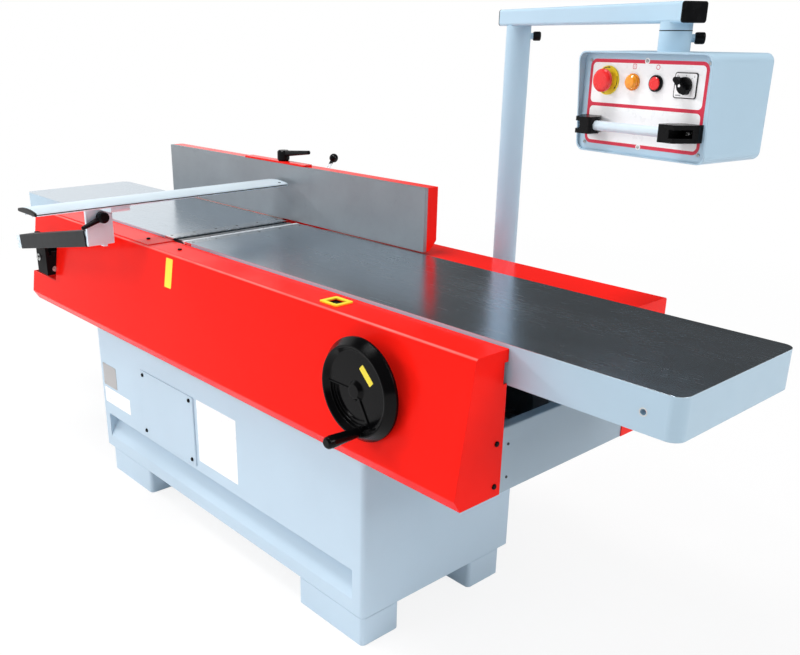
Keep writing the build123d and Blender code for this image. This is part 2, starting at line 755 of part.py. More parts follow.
def outfeed_extension():
    """Separate end length of the outfeed table."""
    body = casting(EXTENSION_END, OUTFEED_END, False)
    return fillet(upright_edges(body).group_by(Axis.X)[0], TABLE_R)


def infeed_table():
    """Long table in front of the cutterhead, with runners that slide down the inclined ways."""
    start = SLOT_X0 + SLOT_W + LIP_W
    body = casting(start, INFEED_END, True)
    body += nose(SLOT_X0 + SLOT_W, start + APRON_T)
    slope = math.tan(math.radians(WAY_SLOPE))
    under = TABLE_Z - PLATE_T
    near = RUNNER_IN
    far = WAY_L - RUNNER_IN - SLIDE_TRAVEL
    for left in WAY_X:
        runner = shape((left + near, under), (left + far, under), (left + far, WAY_TOP - far * slope + FILM),
                       (left + near, WAY_TOP - near * slope + FILM))
        for y in (-WAY_Y, WAY_Y):
            body += prism_y(runner, y - WAY_W / 2, y + WAY_W / 2)
    lug = Pos(WHEEL_X, 0, WHEEL_Z) * Rot(0, WAY_SLOPE, 0) * rack_lug()
    cap = block(WHEEL_X - RACK_TEETH * GEAR_PITCH, WHEEL_X + RACK_TEETH * GEAR_PITCH, -HALF_W, HALF_W,
                WHEEL_Z, under)
    body += lug & cap
    hole_x = INFEED_END - HANGER_HOLE_IN
    return body - rod_y(-HALF_W - 1, APRON_T + 1 - HALF_W, hole_x, TABLE_Z - HANGER_HOLE_DROP, HANGER_HOLE_R)


def rack_ends():
    """Where the rack starts and ends along the way, from the pinion's axis."""
    right = RACK_LEAD * GEAR_PITCH
    return right - RACK_TEETH * GEAR_PITCH, right


def rack_lug():
    """Block under the infeed table that the rack is fixed to, along the ways."""
    x0, x1 = rack_ends()
    base = PITCH_R + RACK_T
    return block(x0, x1, RACK_Y1 - RACK_W, RACK_Y1, base, base + WAY_DROP + APRON_H)


def infeed_rack():
    """Toothed rack under the infeed table, in mesh with the handwheel's pinion."""
    x0, x1 = rack_ends()
    slant = math.tan(math.radians(20))
    half = GEAR_PITCH / 4 - GEAR_BACKLASH / 4
    tip = half - GEAR_TIP * slant
    root = half + GEAR_ROOT * slant
    points = [(x1, PITCH_R + RACK_T), (x0, PITCH_R + RACK_T)]
    for i in range(RACK_TEETH):
        mid = x0 + GEAR_PITCH * (i + 0.5)
        points += [(mid - root, PITCH_R + GEAR_ROOT), (mid - tip, PITCH_R - GEAR_TIP)]
        points += [(mid + tip, PITCH_R - GEAR_TIP), (mid + root, PITCH_R + GEAR_ROOT)]
    points.insert(2, (x0, PITCH_R + GEAR_ROOT))
    points.append((x1, PITCH_R + GEAR_ROOT))
    body = prism_y(shape(*points), RACK_Y1 - RACK_W, RACK_Y1)
    return Pos(WHEEL_X, 0, WHEEL_Z) * Rot(0, WAY_SLOPE, 0) * body


def pinion():
    """Twelve-tooth pinion with involute flanks, about the Y axis."""
    base = PITCH_R * math.cos(math.radians(20))
    inv20 = math.tan(math.radians(20)) - math.radians(20)
    half = (GEAR_PITCH / 4 - GEAR_BACKLASH / 4) / PITCH_R
    top = PITCH_R + GEAR_TIP
    flank = [(PITCH_R - GEAR_ROOT, half + inv20)]
    for r in (base, PITCH_R, top):
        lean = math.acos(base / r)
        flank.append((r, half + inv20 - math.tan(lean) + lean))
    points = []
    for i in range(GEAR_TEETH):
        mid = math.pi / 2 + 2 * math.pi * i / GEAR_TEETH
        for r, a in flank:
            points.append((r * math.cos(mid - a), r * math.sin(mid - a)))
        for r, a in reversed(flank):
            points.append((r * math.cos(mid + a), r * math.sin(mid + a)))
    return prism_y(shape(*points), RACK_Y1 - RACK_W / 2 - GEAR_W / 2, RACK_Y1 - RACK_W / 2 + GEAR_W / 2)


def handwheel_shaft():
    """Shaft from the handwheel to the pinion cut on its inner end."""
    gear_y0 = RACK_Y1 - RACK_W / 2 - GEAR_W / 2
    front = WHEEL_BACK_Y - WHEEL_DEPTH + WHEEL_RIM
    body = rod_y(front, gear_y0, 0, 0, SHAFT_R) + Rot(0, WAY_SLOPE, 0) * pinion()
    return Pos(WHEEL_X, 0, WHEEL_Z) * body


def handwheel():
    """Dished disc handwheel with one ribbed sector of its web set back, and a pin for the grip."""
    back = WHEEL_BACK_Y
    front = back - WHEEL_DEPTH
    web = back - WHEEL_WEB_BACK
    rim_in = WHEEL_FRONT_R - WHEEL_RIM / 2
    hub_end = front + WHEEL_RIM - 4
    hub_back = back + WHEEL_RIM
    half = shape((SHAFT_R + SEAT, hub_back), (WHEEL_HUB_R, hub_back), (WHEEL_HUB_R, web), (rim_in, web),
                 (WHEEL_FRONT_R, back), (WHEEL_R, back), (WHEEL_R, back - WHEEL_WEB_BACK),
                 (WHEEL_FRONT_R, front),
                 (WHEEL_FRONT_R - 4, front), (rim_in - 6, web - WHEEL_WEB_T),
                 (WHEEL_HUB_R + 4, web - WHEEL_WEB_T),
                 (WHEEL_HUB_R, hub_end - 4), (WHEEL_HUB_R - 4, hub_end - 8), (0, hub_end - 8), (0, hub_end),
                 (SHAFT_R + SEAT, hub_end))
    body = revolve(half, Axis.Y)
    face = web - WHEEL_WEB_T
    floor = face + WHEEL_RECESS_T
    ring = shape((WHEEL_HUB_R + 6, face - 1), (rim_in - 8, face - 1), (rim_in - 8, floor),
                 (WHEEL_HUB_R + 6, floor))
    body -= Rot(0, WHEEL_RECESS_FROM, 0) * revolve(ring, Axis.Y, revolution_arc=WHEEL_RECESS_SPAN)
    for r in WHEEL_RIDGE_R:
        w = WHEEL_RIDGE_W / 2
        ridge = shape((r - w, floor + 1), (r + w, floor + 1), (r + w / 3, face + 1), (r - w / 3, face + 1))
        body += Rot(0, WHEEL_RECESS_FROM, 0) * revolve(ridge, Axis.Y, revolution_arc=WHEEL_RECESS_SPAN)
    for turn, wide in zip((0, WHEEL_RECESS_SPAN), WHEEL_RIB_W):
        rib = block(WHEEL_HUB_R, rim_in - 6, face - WHEEL_RIB_H, floor, -wide / 2, wide / 2)
        rib = chamfer(rib.edges().group_by(Axis.Y)[0], WHEEL_RIB_H / 3)
        body += Rot(0, WHEEL_RECESS_FROM + turn, 0) * rib
    gx = GRIP_AT * math.cos(math.radians(GRIP_ANGLE))
    gz = GRIP_AT * math.sin(math.radians(GRIP_ANGLE))
    body += rod_y(front - GRIP_L, web, gx, gz, GRIP_PIN_R)
    boss = rod_y(front, web, gx, gz, GRIP_NECK_R)
    return Pos(WHEEL_X, 0, WHEEL_Z) * (body + boss)


def handwheel_grip():
    """Turned grip that spins on the handwheel's pin."""
    front = WHEEL_BACK_Y - WHEEL_DEPTH
    start = front - RUN
    end = front - GRIP_L - 4
    bore = GRIP_PIN_R + RUN
    half = shape((bore, start), (GRIP_NECK_R, start), (GRIP_R - 2, start - GRIP_L / 2),
                 (GRIP_R, end + GRIP_R),
                 (GRIP_R - 1.5, end + 4), (GRIP_R - 5, end), (0, end), (0, end + 4 - RUN),
                 (bore, end + 4 - RUN))
    gx = GRIP_AT * math.cos(math.radians(GRIP_ANGLE))
    gz = GRIP_AT * math.sin(math.radians(GRIP_ANGLE))
    return Pos(WHEEL_X + gx, 0, WHEEL_Z + gz) * revolve(half, Axis.Y)


def table_lip(x0, edge):
    """Steel lip beside the slot, hollowed to the cutterhead, with a row of silencing slots."""
    body = block(x0, x0 + LIP_W, -HALF_W, HALF_W, TABLE_Z - LIP_T, TABLE_Z)
    count = int((TABLE_W - LIP_SLOT_PITCH) / LIP_SLOT_PITCH)
    mid = edge + math.copysign(LIP_SLOT_IN, x0 + LIP_W / 2 - edge)
    slot = Box(LIP_SLOT_W, LIP_SLOT_L, 3 * LIP_T)
    places = [(mid, (i - (count - 1) / 2) * LIP_SLOT_PITCH, TABLE_Z) for i in range(count)]
    body -= [Pos(*p) * slot for p in places]
    return body - rod_y(-HALF_W - 1, HALF_W + 1, CUTTER_X, CUTTER_Z, CUT_R + LIP_GAP)


def pocket_frame(i):
    """Place of one knife pocket round the cutterhead's axis."""
    return Pos(CUTTER_X, 0, CUTTER_Z) * Rot(0, CUTTER_PHASE + 360 * i / KNIFE_COUNT, 0)


def cutterhead():
    """Round cutter block with four knife pockets and gullets, and a journal at each end."""
    half = CUTTER_L / 2
    body = rod_y(-half, half, CUTTER_X, CUTTER_Z, BODY_R)
    bottom = CUT_R - KNIFE_H
    pocket = block(0, KNIFE_T + WEDGE_T, -half - 1, half + 1, bottom, CUT_R + 1)
    pocket += rod_y(-half - 1, half + 1, KNIFE_T + GULLET_R, BODY_R, GULLET_R)
    for i in range(KNIFE_COUNT):
        body -= pocket_frame(i) * pocket
    body += rod_y(HOUSING_Y - SEAT, -half, CUTTER_X, CUTTER_Z, JOURNAL_R)
    body += rod_y(PULLEY_Y0, HOUSING_Y - SEAT, CUTTER_X, CUTTER_Z, PULLEY_SEAT_R)
    return body + rod_y(half, REAR_OUT + HOUSING_L - HOUSING_PLATE_T, CUTTER_X, CUTTER_Z, JOURNAL_R)


def cutter_knives():
    """Straight planer knives, one in each pocket."""
    half = CUTTER_L / 2
    bottom = CUT_R - KNIFE_H
    bevel = shape((0, bottom), (KNIFE_T, bottom), (KNIFE_T, CUT_R - KNIFE_OUT / 8),
                  (0, CUT_R - 2 * KNIFE_OUT))
    return [pocket_frame(i) * prism_y(bevel, -half, half) for i in range(KNIFE_COUNT)]


def knife_wedges():
    """Gib wedges that lock the knives."""
    half = CUTTER_L / 2
    bottom = CUT_R - KNIFE_H
    wedge = shape((KNIFE_T, bottom), (KNIFE_T + WEDGE_T, bottom),
                  (KNIFE_T + WEDGE_T, bottom + WEDGE_H - GULLET_R / 3),
                  (KNIFE_T + WEDGE_T / 2, bottom + WEDGE_H - GULLET_R / 2), (KNIFE_T, bottom + WEDGE_H))
    return [pocket_frame(i) * prism_y(wedge, -half, half) for i in range(KNIFE_COUNT)]


def bearing_housings():
    """Flanged bearing housings on the outer faces of the two cheeks."""
    half = HOUSING_PLATE / 2
    x0 = CUTTER_X - half
    x1 = CUTTER_X + half
    z0 = CUTTER_Z - half
    z1 = min(CUTTER_Z + half, FLANGE_Z - COVER_T)
    front = block(x0, x1, FRONT_OUT - HOUSING_PLATE_T, FRONT_OUT, z0, z1)
    front += rod_y(HOUSING_Y, FRONT_OUT, CUTTER_X, CUTTER_Z, HOUSING_R)
    front -= rod_y(HOUSING_Y - 1, FRONT_OUT + 1, CUTTER_X, CUTTER_Z, JOURNAL_R + RUN)
    rear = block(x0, x1, REAR_OUT, REAR_OUT + HOUSING_PLATE_T, z0, z1)
    rear += rod_y(REAR_OUT, REAR_OUT + HOUSING_L, CUTTER_X, CUTTER_Z, HOUSING_R)
    rear -= rod_y(REAR_OUT - 1, REAR_OUT + HOUSING_L - HOUSING_PLATE_T + 1, CUTTER_X, CUTTER_Z,
                  JOURNAL_R + RUN)
    return [front, rear]


def pulley_half(r, bore):
    """Half section of a V-belt pulley, radius against Y."""
    points = [(bore, PULLEY_Y0), (r, PULLEY_Y0)]
    deep = r - BELT_DEEP - AIR
    wide = BELT_W / 2 + AIR
    for i in range(BELT_COUNT):
        mid = (PULLEY_Y0 + PULLEY_Y1) / 2 + (i - (BELT_COUNT - 1) / 2) * BELT_PITCH
        points += [(r, mid - wide - GROOVE_FLARE), (deep, mid - wide), (deep, mid + wide),
                   (r, mid + wide + GROOVE_FLARE)]
    points += [(r, PULLEY_Y1), (bore, PULLEY_Y1)]
    return shape(*points)


def cutter_pulley():
    """Driven V-belt pulley on the cutterhead's front end."""
    return Pos(CUTTER_X, 0, CUTTER_Z) * revolve(pulley_half(CUTTER_PULLEY_R, PULLEY_SEAT_R + SEAT), Axis.Y)


def motor_pulley():
    """Driving V-belt pulley with the motor's shaft end."""
    body = revolve(pulley_half(MOTOR_PULLEY_R, MOTOR_SHAFT_R / 2), Axis.Y)
    body += rod_y(PULLEY_Y0, PULLEY_Y1 + MOTOR_GAP + MOTOR_SHAFT_IN, 0, 0, MOTOR_SHAFT_R)
    return Pos(MOTOR_X, 0, MOTOR_Z) * body


def belt_loop(inset):
    """Outline of a belt run over both pulleys, set in from their rims."""
    small = Pos(CUTTER_X, CUTTER_Z) * Circle(CUTTER_PULLEY_R - inset)
    large = Pos(MOTOR_X, MOTOR_Z) * Circle(MOTOR_PULLEY_R - inset)
    return make_hull(ShapeList(small.edges() + large.edges()))


def drive_belts():
    """Matched V-belts round the two pulleys."""
    ring = belt_loop(-BELT_OUT) - belt_loop(BELT_DEEP)
    belts = []
    for i in range(BELT_COUNT):
        mid = (PULLEY_Y0 + PULLEY_Y1) / 2 + (i - (BELT_COUNT - 1) / 2) * BELT_PITCH
        belts.append(prism_y(ring, mid - BELT_W / 2, mid + BELT_W / 2))
    return belts


def motor():
    """Finned foot-mounted motor with a terminal box."""
    y0 = PULLEY_Y1 + MOTOR_GAP
    y1 = y0 + MOTOR_L
    body = rod_y(y0, y1, 0, 0, MOTOR_R)
    fin = block(MOTOR_R - FIN_H, MOTOR_R + FIN_H, y0 + FIN_H, y1 - 3 * FIN_H, -FIN_T / 2, FIN_T / 2)
    for i in range(FIN_COUNT):
        body += Rot(0, 360 * i / FIN_COUNT, 0) * fin
    mid = (y0 + y1) / 2
    body += block(-TERMINAL_L / 2, TERMINAL_L / 2, mid - TERMINAL_W / 2, mid + TERMINAL_W / 2, 0,
                  MOTOR_R + TERMINAL_H)
    for side in (-1, 1):
        at = side * MOTOR_FOOT_SPAN
        leg = shape((at - MOTOR_FOOT_W / 2, -SHELF_DROP), (at + MOTOR_FOOT_W / 2, -SHELF_DROP),
                    (at - side * MOTOR_FOOT_W / 2, -MOTOR_R / 3), (at - side * MOTOR_FOOT_W, -MOTOR_R / 2))
        body += prism_y(leg, y0 + 2 * FIN_H, y1 - 4 * FIN_H)
    body -= rod_y(y0 - 1, y0 + MOTOR_SHAFT_IN + 1, 0, 0, MOTOR_SHAFT_R + RUN)
    return Pos(MOTOR_X, 0, MOTOR_Z) * body


def motor_shelf():
    """Folded shelf welded across the cabinet, for the motor to stand on."""
    x0 = MOTOR_X - SHELF_W / 2
    x1 = MOTOR_X + SHELF_W / 2
    y0 = CAB_Y0 + CAB_T
    y1 = CAB_Y1 - CAB_T
    body = block(x0, x1, y0, y1, SHELF_Z - SHELF_T, SHELF_Z)
    edge = block(x0, x1, y1 - SHELF_T, y1, SHELF_Z - SHELF_EDGE, SHELF_Z)
    return body + edge


def chip_hood():
    """Sheet hopper under the cutterhead that slopes down to a round spigot at the back."""
    top = TABLE_Z - HOOD_TOP_DROP
    turn = TABLE_Z - HOOD_BREAK_DROP
    y0 = FRONT_IN + HOOD_GAP
    y1 = REAR_IN - HOOD_GAP
    x0 = CUTTER_X - HOOD_OUT
    x1 = CUTTER_X + HOOD_OUT
    side = shape((y0, top), (y0, turn), (HALF_W / 2, FLOOR_Z), (y1, FLOOR_Z), (y1, top))
    body = prism_x(side, x0, x1)
    room = prism_x(offset(side, -HOOD_T, kind=Kind.INTERSECTION), x0 + HOOD_T, x1 - HOOD_T)
    body -= room + Pos(0, 0, 2 * HOOD_T) * room
    body += rod_y(y1 - HOOD_T, REAR_Y, CUTTER_X, SPIGOT_Z, SPIGOT_R - SPIGOT_STEP)
    body += rod_y(REAR_Y, REAR_Y + SPIGOT_OUT, CUTTER_X, SPIGOT_Z, SPIGOT_R)
    return body - rod_y(y1 - 2 * HOOD_T, REAR_Y + SPIGOT_OUT + 1, CUTTER_X, SPIGOT_Z,
                        SPIGOT_R - SPIGOT_STEP - HOOD_T)


def depth_scale():
    """Raised frame round the depth scale's window on the front cover."""
    y = FRONT_IN - SCALE_Y_IN
    ring = RectangleRounded(SCALE_L, SCALE_W, SCALE_FRAME / 2)
    ring -= Rectangle(SCALE_L - 2 * SCALE_FRAME, SCALE_W - 2 * SCALE_FRAME)
    return extrude(Pos(SCALE_X, y, FLANGE_Z) * ring, SCALE_T)


def guard_frame():
    """Place of the guard arm: its pivot, with local X along the arm."""
    return Pos(GUARD_X, GUARD_Y, GUARD_Z) * Rot(0, -GUARD_TILT, 0)


def guard_bracket():
    """Bracket on the front wall of the bed, with the pivot pins of the arm and its link."""
    y0 = GUARD_BACK + BRACKET_AIR
    y1 = y0 + BRACKET_T
    x0 = GUARD_X - BRACKET_W / 2
    x1 = GUARD_X + BRACKET_W / 2
    z0 = BRACKET_GAP_Z0 + BRACKET_UP
    z1 = GUARD_Z + BRACKET_RISE
    body = block(x0, x1, y0, y1, z0, z1)
    body = fillet(body.edges().filter_by(Axis.Y).group_by(Axis.Z)[-1], BRACKET_T)
    for x in (x0, x1 - BRACKET_RIB_T):
        body += block(x, x + BRACKET_RIB_T, y1, FRONT_OUT, z0, WALL_TOP - LINK_H)
    body -= block(x0 - 1, x1 + 1, LINK_Y0 - LINK_AIR, LINK_Y0 + LINK_T + LINK_AIR, GUARD_Z - 3 * LINK_H,
                  z1 + 1)
    body += block(x0, x0 + BRACKET_FOOT_L, FRONT_OUT - BRACKET_T, FRONT_OUT, z0, WALL_TOP - LINK_H)
    body += rod_y(GUARD_FRONT + GUARD_GROOVE_D, y1, GUARD_X, GUARD_Z, GUARD_PIN_R)
    return body + rod_y(y0, LINK_Y0 + LINK_T, GUARD_X, GUARD_Z - LINK_DROP, LINK_PIN_R)


def guard_arm():
    """Aluminium profile arm with a T-groove, from the bracket to the guard holder."""
    half = GUARD_T / 2
    high = GUARD_H / 2
    body = block(-GUARD_TAIL, GUARD_REACH, -half, half, -high, high)
    body = fillet(body.edges().filter_by(Axis.Y), GUARD_H / 10)
    groove = GUARD_GROOVE_H / 2
    body -= block(-GUARD_TAIL - 1, GUARD_REACH + 1, -half - 1, GUARD_GROOVE_D - half, -groove, groove)
    for x in (0, HOLDER_AT):
        body -= rod_y(-half - 1, half + 1, x, 0, GUARD_PIN_R + RUN)
    return guard_frame() * body


def guard_arm_cover():
    """Folded cover clipped over the middle of the guard arm."""
    front = -GUARD_T / 2 - GUARD_COVER_FRONT
    back = GUARD_T / 2
    high = GUARD_H / 2 + GUARD_COVER_AIR
    x0 = GUARD_COVER_X0
    x1 = x0 + GUARD_COVER_L
    body = block(x0, x1, front - GUARD_COVER_T, back, -high - GUARD_COVER_T, high + GUARD_COVER_T)
    body = fillet(body.edges().filter_by(Axis.X).group_by(Axis.Y)[0], GUARD_COVER_T)
    body -= block(x0 - 1, x1 + 1, front, back + 1, -high, high)
    return guard_frame() * body


def guard_link():
    """Parallel link behind the arm that keeps the bridge guard level."""
    run = HOLDER_AT
    r = LINK_H / 2
    body = block(0, run, 0, LINK_T, -r, r)
    for x in (0, run):
        body += rod_y(0, LINK_T, x, 0, r)
    for x in (0, run):
        body -= rod_y(-1, LINK_T + 1, x, 0, LINK_PIN_R + RUN)
    return Pos(GUARD_X, LINK_Y0, GUARD_Z - LINK_DROP) * Rot(0, -GUARD_TILT, 0) * body


def guard_holder():
    """Lug pinned to the arm, with an end plate and a saddle and guide block for the bridge guard."""
    x0 = HOLDER_X - HOLDER_LEFT
    x1 = HOLDER_END_X1
    body = block(x0, x1, HOLDER_Y0, HOLDER_Y1, HOLDER_Z - HOLDER_DROP, HOLDER_Z + HOLDER_RISE)
    body = fillet(body.edges().filter_by(Axis.Y).group_by(Axis.X)[0], HOLDER_T)
    top = BRIDGE_Z - RAIL_H - SLIDE
    y0 = HOLDER_END_Y0
    body += block(HOLDER_END_X0, x1, y0, y0 + HOLDER_END_D, HOLDER_Z - HOLDER_END_DROP, top)
    saddle_y0 = y0 + (HOLDER_END_D - SADDLE_D) / 2
    saddle_y1 = saddle_y0 + SADDLE_D
    saddle_x1 = BRIDGE_MID + RAIL_GAP / 2 + RAIL_T + SADDLE_RIM
    saddle = block(HOLDER_END_X0, saddle_x1, saddle_y0, saddle_y1, top - SADDLE_H, top)
    body += fillet(saddle.edges().filter_by(Axis.Y).group_by(Axis.X)[-1].sort_by(Axis.Z)[0], SADDLE_RIM)
    guide = RAIL_GAP / 2 - SLIDE
    body += block(BRIDGE_MID - guide, BRIDGE_MID + guide, saddle_y0, saddle_y1, top, BRIDGE_Z - SLIDE)
    body += rod_y(GUARD_FRONT + GUARD_GROOVE_D, HOLDER_Y0, HOLDER_X, HOLDER_Z, GUARD_PIN_R)
    body += rod_y(HOLDER_Y1, LINK_Y0 + LINK_T, HOLDER_X, HOLDER_Z - LINK_DROP, LINK_PIN_R)
    return body - rod_x(HOLDER_END_X0 - 1, x1 + 1, CLAMP_Y, CLAMP_Z, CLAMP_STUD_R + RUN)


def guard_clamp_lever():
    """Clamp lever on the holder's end plate."""
    x0 = HOLDER_END_X1
    body = rod_x(x0, x0 + CLAMP_HUB_L, 0, 0, CLAMP_HUB_R)
    body = fillet(body.edges().group_by(Axis.X)[-1], CLAMP_HUB_L / 4)
    body += rod_x(HOLDER_END_X0, x0, 0, 0, CLAMP_STUD_R)
    lever = Rot(90, 0, 0) * Pos(0, 0, CLAMP_LEVER_L / 2) * Cone(CLAMP_LEVER_R + 2, CLAMP_LEVER_R - 1,
                                                                CLAMP_LEVER_L)
    lever = chamfer(lever.edges().group_by(Axis.Y)[0], CLAMP_LEVER_R / 3)
    lever = Pos(x0 + CLAMP_HUB_L / 2, 0, 0) * Rot(CLAMP_LEAN, 0, 0) * lever
    return Pos(0, CLAMP_Y, CLAMP_Z) * (body + lever)


def bridge_outline():
    """Outer section of the bridge guard: flat below, slightly arched on top."""
    w = BRIDGE_W / 2
    e = BRIDGE_EDGE
    top = ThreePointArc((-w, e), (0, BRIDGE_RISE), (w, e))
    face = make_face(top + Polyline((w, e), (w, 0), (-w, 0), (-w, e)))
    return fillet(face.vertices(), BRIDGE_CORNER)


def bridge_guard():
    """Long hollow guard profile over the cutterhead, with two guide rails on the holder's saddle."""
    outer = bridge_outline()
    section = outer - offset(outer, -BRIDGE_T)
    for side in (-1, 1):
        section += Pos(side * (RAIL_GAP + RAIL_T) / 2, (BRIDGE_T - RAIL_H) / 2) * Rectangle(RAIL_T,
                                                                                            RAIL_H + BRIDGE_T)
    return Pos(BRIDGE_MID, 0, BRIDGE_Z) * prism_y(section, BRIDGE_Y0, BRIDGE_Y0 + BRIDGE_L)


def bridge_end_caps():
    """End caps of the bridge guard."""
    caps = []
    for y, outer in ((BRIDGE_Y0 - BRIDGE_CAP_T, 0), (BRIDGE_Y0 + BRIDGE_L, -1)):
        cap = prism_y(bridge_outline(), y, y + BRIDGE_CAP_T)
        cap = chamfer(cap.edges().group_by(Axis.Y)[outer], BRIDGE_CAP_T / 3)
        caps.append(Pos(BRIDGE_MID, 0, BRIDGE_Z) * cap)
    return caps


def fence_plate():
    """Ground face plate of the fence."""
    return block(FENCE_X0, FENCE_X0 + FENCE_L, FENCE_Y, FENCE_BACK, FENCE_Z0, FENCE_Z1)


def fence_box():
    """Sheet back of the fence: two open trays and the raised cap that joins them over the hinge bay."""
    back = FENCE_BACK + FENCE_BOX_D
    t = FENCE_BOX_T
    side = shape((FENCE_BACK, FENCE_Z0), (back - FENCE_CHAMFER, FENCE_Z0), (back, FENCE_Z0 + FENCE_CHAMFER),
                 (back, FENCE_Z1), (FENCE_BACK, FENCE_Z1))
    inner = offset(side, -t, kind=Kind.INTERSECTION)
    inner += Pos(-2 * t, 0) * inner
    bay_x1 = FENCE_BAY_X0 + FENCE_BAY_L
    body = Part()
    for x0, x1 in ((FENCE_X0, FENCE_BAY_X0), (bay_x1, FENCE_X0 + FENCE_L)):
        body += prism_x(side, x0, x1) - prism_x(inner, x0 + t, x1 - t)
    cap = block(FENCE_BAY_X0 - FENCE_CAP_LAP, bay_x1 + FENCE_CAP_LAP, FENCE_Y + t, FENCE_BACK + FENCE_CAP_D,
                FENCE_Z1, FENCE_Z1 + FENCE_CAP_T)
    cap = fillet(upright_edges(cap), FENCE_CAP_T)
    return body + cap - rod_z(FENCE_Z1 - 1, FENCE_Z1 + FENCE_CAP_T + 1, TILT_CLAMP_X, PIVOT_Y - LUG_AIR,
                              PIVOT_R + RUN)


def lug_places():
    """X ranges of the two hinge lugs, one on each side of the bar head."""
    gap = BAR_HEAD_W / 2 + LUG_AIR
    return ((BAR_X - gap - LUG_T, BAR_X - gap), (BAR_X + gap, BAR_X + gap + LUG_T))


def fence_lugs():
    """Hinge lugs on the back of the face plate."""
    lugs = []
    for x0, x1 in lug_places():
        body = block(x0, x1, FENCE_BACK, PIVOT_Y, PIVOT_Z - LUG_R, PIVOT_Z + LUG_R)
        body += prism_x(shape((FENCE_BACK, PIVOT_Z), (PIVOT_Y, PIVOT_Z), (FENCE_BACK, PIVOT_Z + LUG_H)), x0,
                        x1)
        body += rod_x(x0, x1, PIVOT_Y, PIVOT_Z, LUG_R)
        lugs.append(body - rod_x(x0 - 1, x1 + 1, PIVOT_Y, PIVOT_Z, PIVOT_R + RUN))
    return lugs


def fence_bar():
    """Slide bar of the fence with a hinge head and pin at its front end."""
    y0 = BAR_HEAD_Y0
    y1 = BAR_HEAD_Y1
    z1 = BAR_Z0 + BAR_H
    rise = PIVOT_Z - PIVOT_Y + (PIVOT_Y - FENCE_BACK) * math.sqrt(2) - 2 * BAR_HEAD_AIR
    low = TABLE_Z + FENCE_GAP + BAR_HEAD_AIR
    head = shape((y0, low), (y1, low), (y1, z1), (z1 - rise, z1), (y0, y0 + rise))
    body = prism_x(head, BAR_X - BAR_HEAD_W / 2, BAR_X + BAR_HEAD_W / 2)
    body += block(BAR_X - BAR_W / 2, BAR_X + BAR_W / 2, y1, BAR_REAR_Y, BAR_Z0, z1)
    lugs = lug_places()
    return body + rod_x(lugs[0][0], lugs[1][1], PIVOT_Y, PIVOT_Z, PIVOT_R)


def fence_support():
    """Block on the rear cover that the slide bar runs through."""
    x0 = BAR_X - SUPPORT_W / 2
    x1 = BAR_X + SUPPORT_W / 2
    y1 = SUPPORT_Y0 + SUPPORT_D
    top = BAR_Z0 + BAR_H + SUPPORT_WALL
    body = block(x0, x1, SUPPORT_Y0, y1, FLANGE_Z, top)
    body = fillet(upright_edges(body), SUPPORT_WALL / 2)
    body += block(x0, x1, REAR_Y, REAR_Y + SUPPORT_FOOT_T, FLANGE_Z - SUPPORT_FOOT_H, FLANGE_Z)
    w = BAR_W / 2 + SLIDE
    body -= block(BAR_X - w, BAR_X + w, SUPPORT_Y0 - 1, y1 + 1, BAR_Z0 - SLIDE, BAR_Z0 + BAR_H + SLIDE)
    return body - rod_x(BAR_X + w - 1, x1 + 1, LOCK_Y, BAR_Z0 + BAR_H / 2, LOCK_STUD_R + RUN)


def fence_clamp_lever():
    """Clamp lever on top of the fence that locks its tilt."""
    z0 = FENCE_Z1 + FENCE_CAP_T
    body = rod_z(z0, z0 + TILT_HUB_H, 0, 0, TILT_HUB_R)
    body = chamfer(body.edges(), TILT_HUB_H / 8)
    body += rod_z(FENCE_Z1, z0, 0, 0, PIVOT_R)
    lean = math.degrees(math.atan2(TILT_LEVER_RISE, TILT_LEVER_L))
    lever = Pos(TILT_LEVER_L / 2, 0, 0) * Rot(0, 90, 0) * Cone(TILT_LEVER_R + 3, TILT_LEVER_R - 1,
                                                               TILT_LEVER_L)
    lever = chamfer(lever.edges().group_by(Axis.X)[-1], TILT_LEVER_R / 3)
    body += Pos(0, 0, z0 + TILT_HUB_H * 2 / 3) * Rot(0, -lean, 0) * lever
    return Pos(TILT_CLAMP_X, PIVOT_Y - LUG_AIR, 0) * body


def fence_lock_lever():
    """Ball lever on the side of the support that locks the slide bar."""
    x0 = BAR_X + SUPPORT_W / 2
    body = rod_x(x0, x0 + LOCK_HUB_L, 0, 0, LOCK_HUB_R)
    body += rod_x(BAR_X + BAR_W / 2 + 2 * SLIDE, x0, 0, 0, LOCK_STUD_R)
    mid = x0 + LOCK_HUB_L / 2
    rod = rod_z(0, LOCK_L, mid, 0, LOCK_ROD_R) + Pos(mid, 0, LOCK_L) * Sphere(LOCK_BALL_R)
    return Pos(0, LOCK_Y, BAR_Z0 + BAR_H / 2) * (body + Rot(-LOCK_LEAN, 0, 0) * rod)


def column_bracket():
    """Bracket on the back of the machine that holds the column's foot."""
    w = BRACKET_PLATE_W / 2
    z0 = COLUMN_Z0 - BRACKET_LUG_T
    z1 = z0 + BRACKET_SPAN + BRACKET_LUG_T
    body = block(COLUMN_X - w, COLUMN_X + w, REAR_Y, REAR_Y + BRACKET_PLATE_T, z0 - BRACKET_LUG_T,
                 z1 + BRACKET_LUG_T)
    for z in (z0, z1 - BRACKET_LUG_T):
        body += block(COLUMN_X - BRACKET_LUG_R, COLUMN_X + BRACKET_LUG_R, REAR_Y, COLUMN_Y, z,
                      z + BRACKET_LUG_T)
        body += rod_z(z, z + BRACKET_LUG_T, COLUMN_X, COLUMN_Y, BRACKET_LUG_R)
    return body - rod_z(COLUMN_Z0, z1 + 1, COLUMN_X, COLUMN_Y, COLUMN_R + SLIDE)


def thumb_frame(x, y, z):
    """Place of a thumb screw: local Z points out of the tube."""
    return Pos(x, y, z) * Rot(0, 0, THUMB_YAW) * Rot(0, 90, 0)


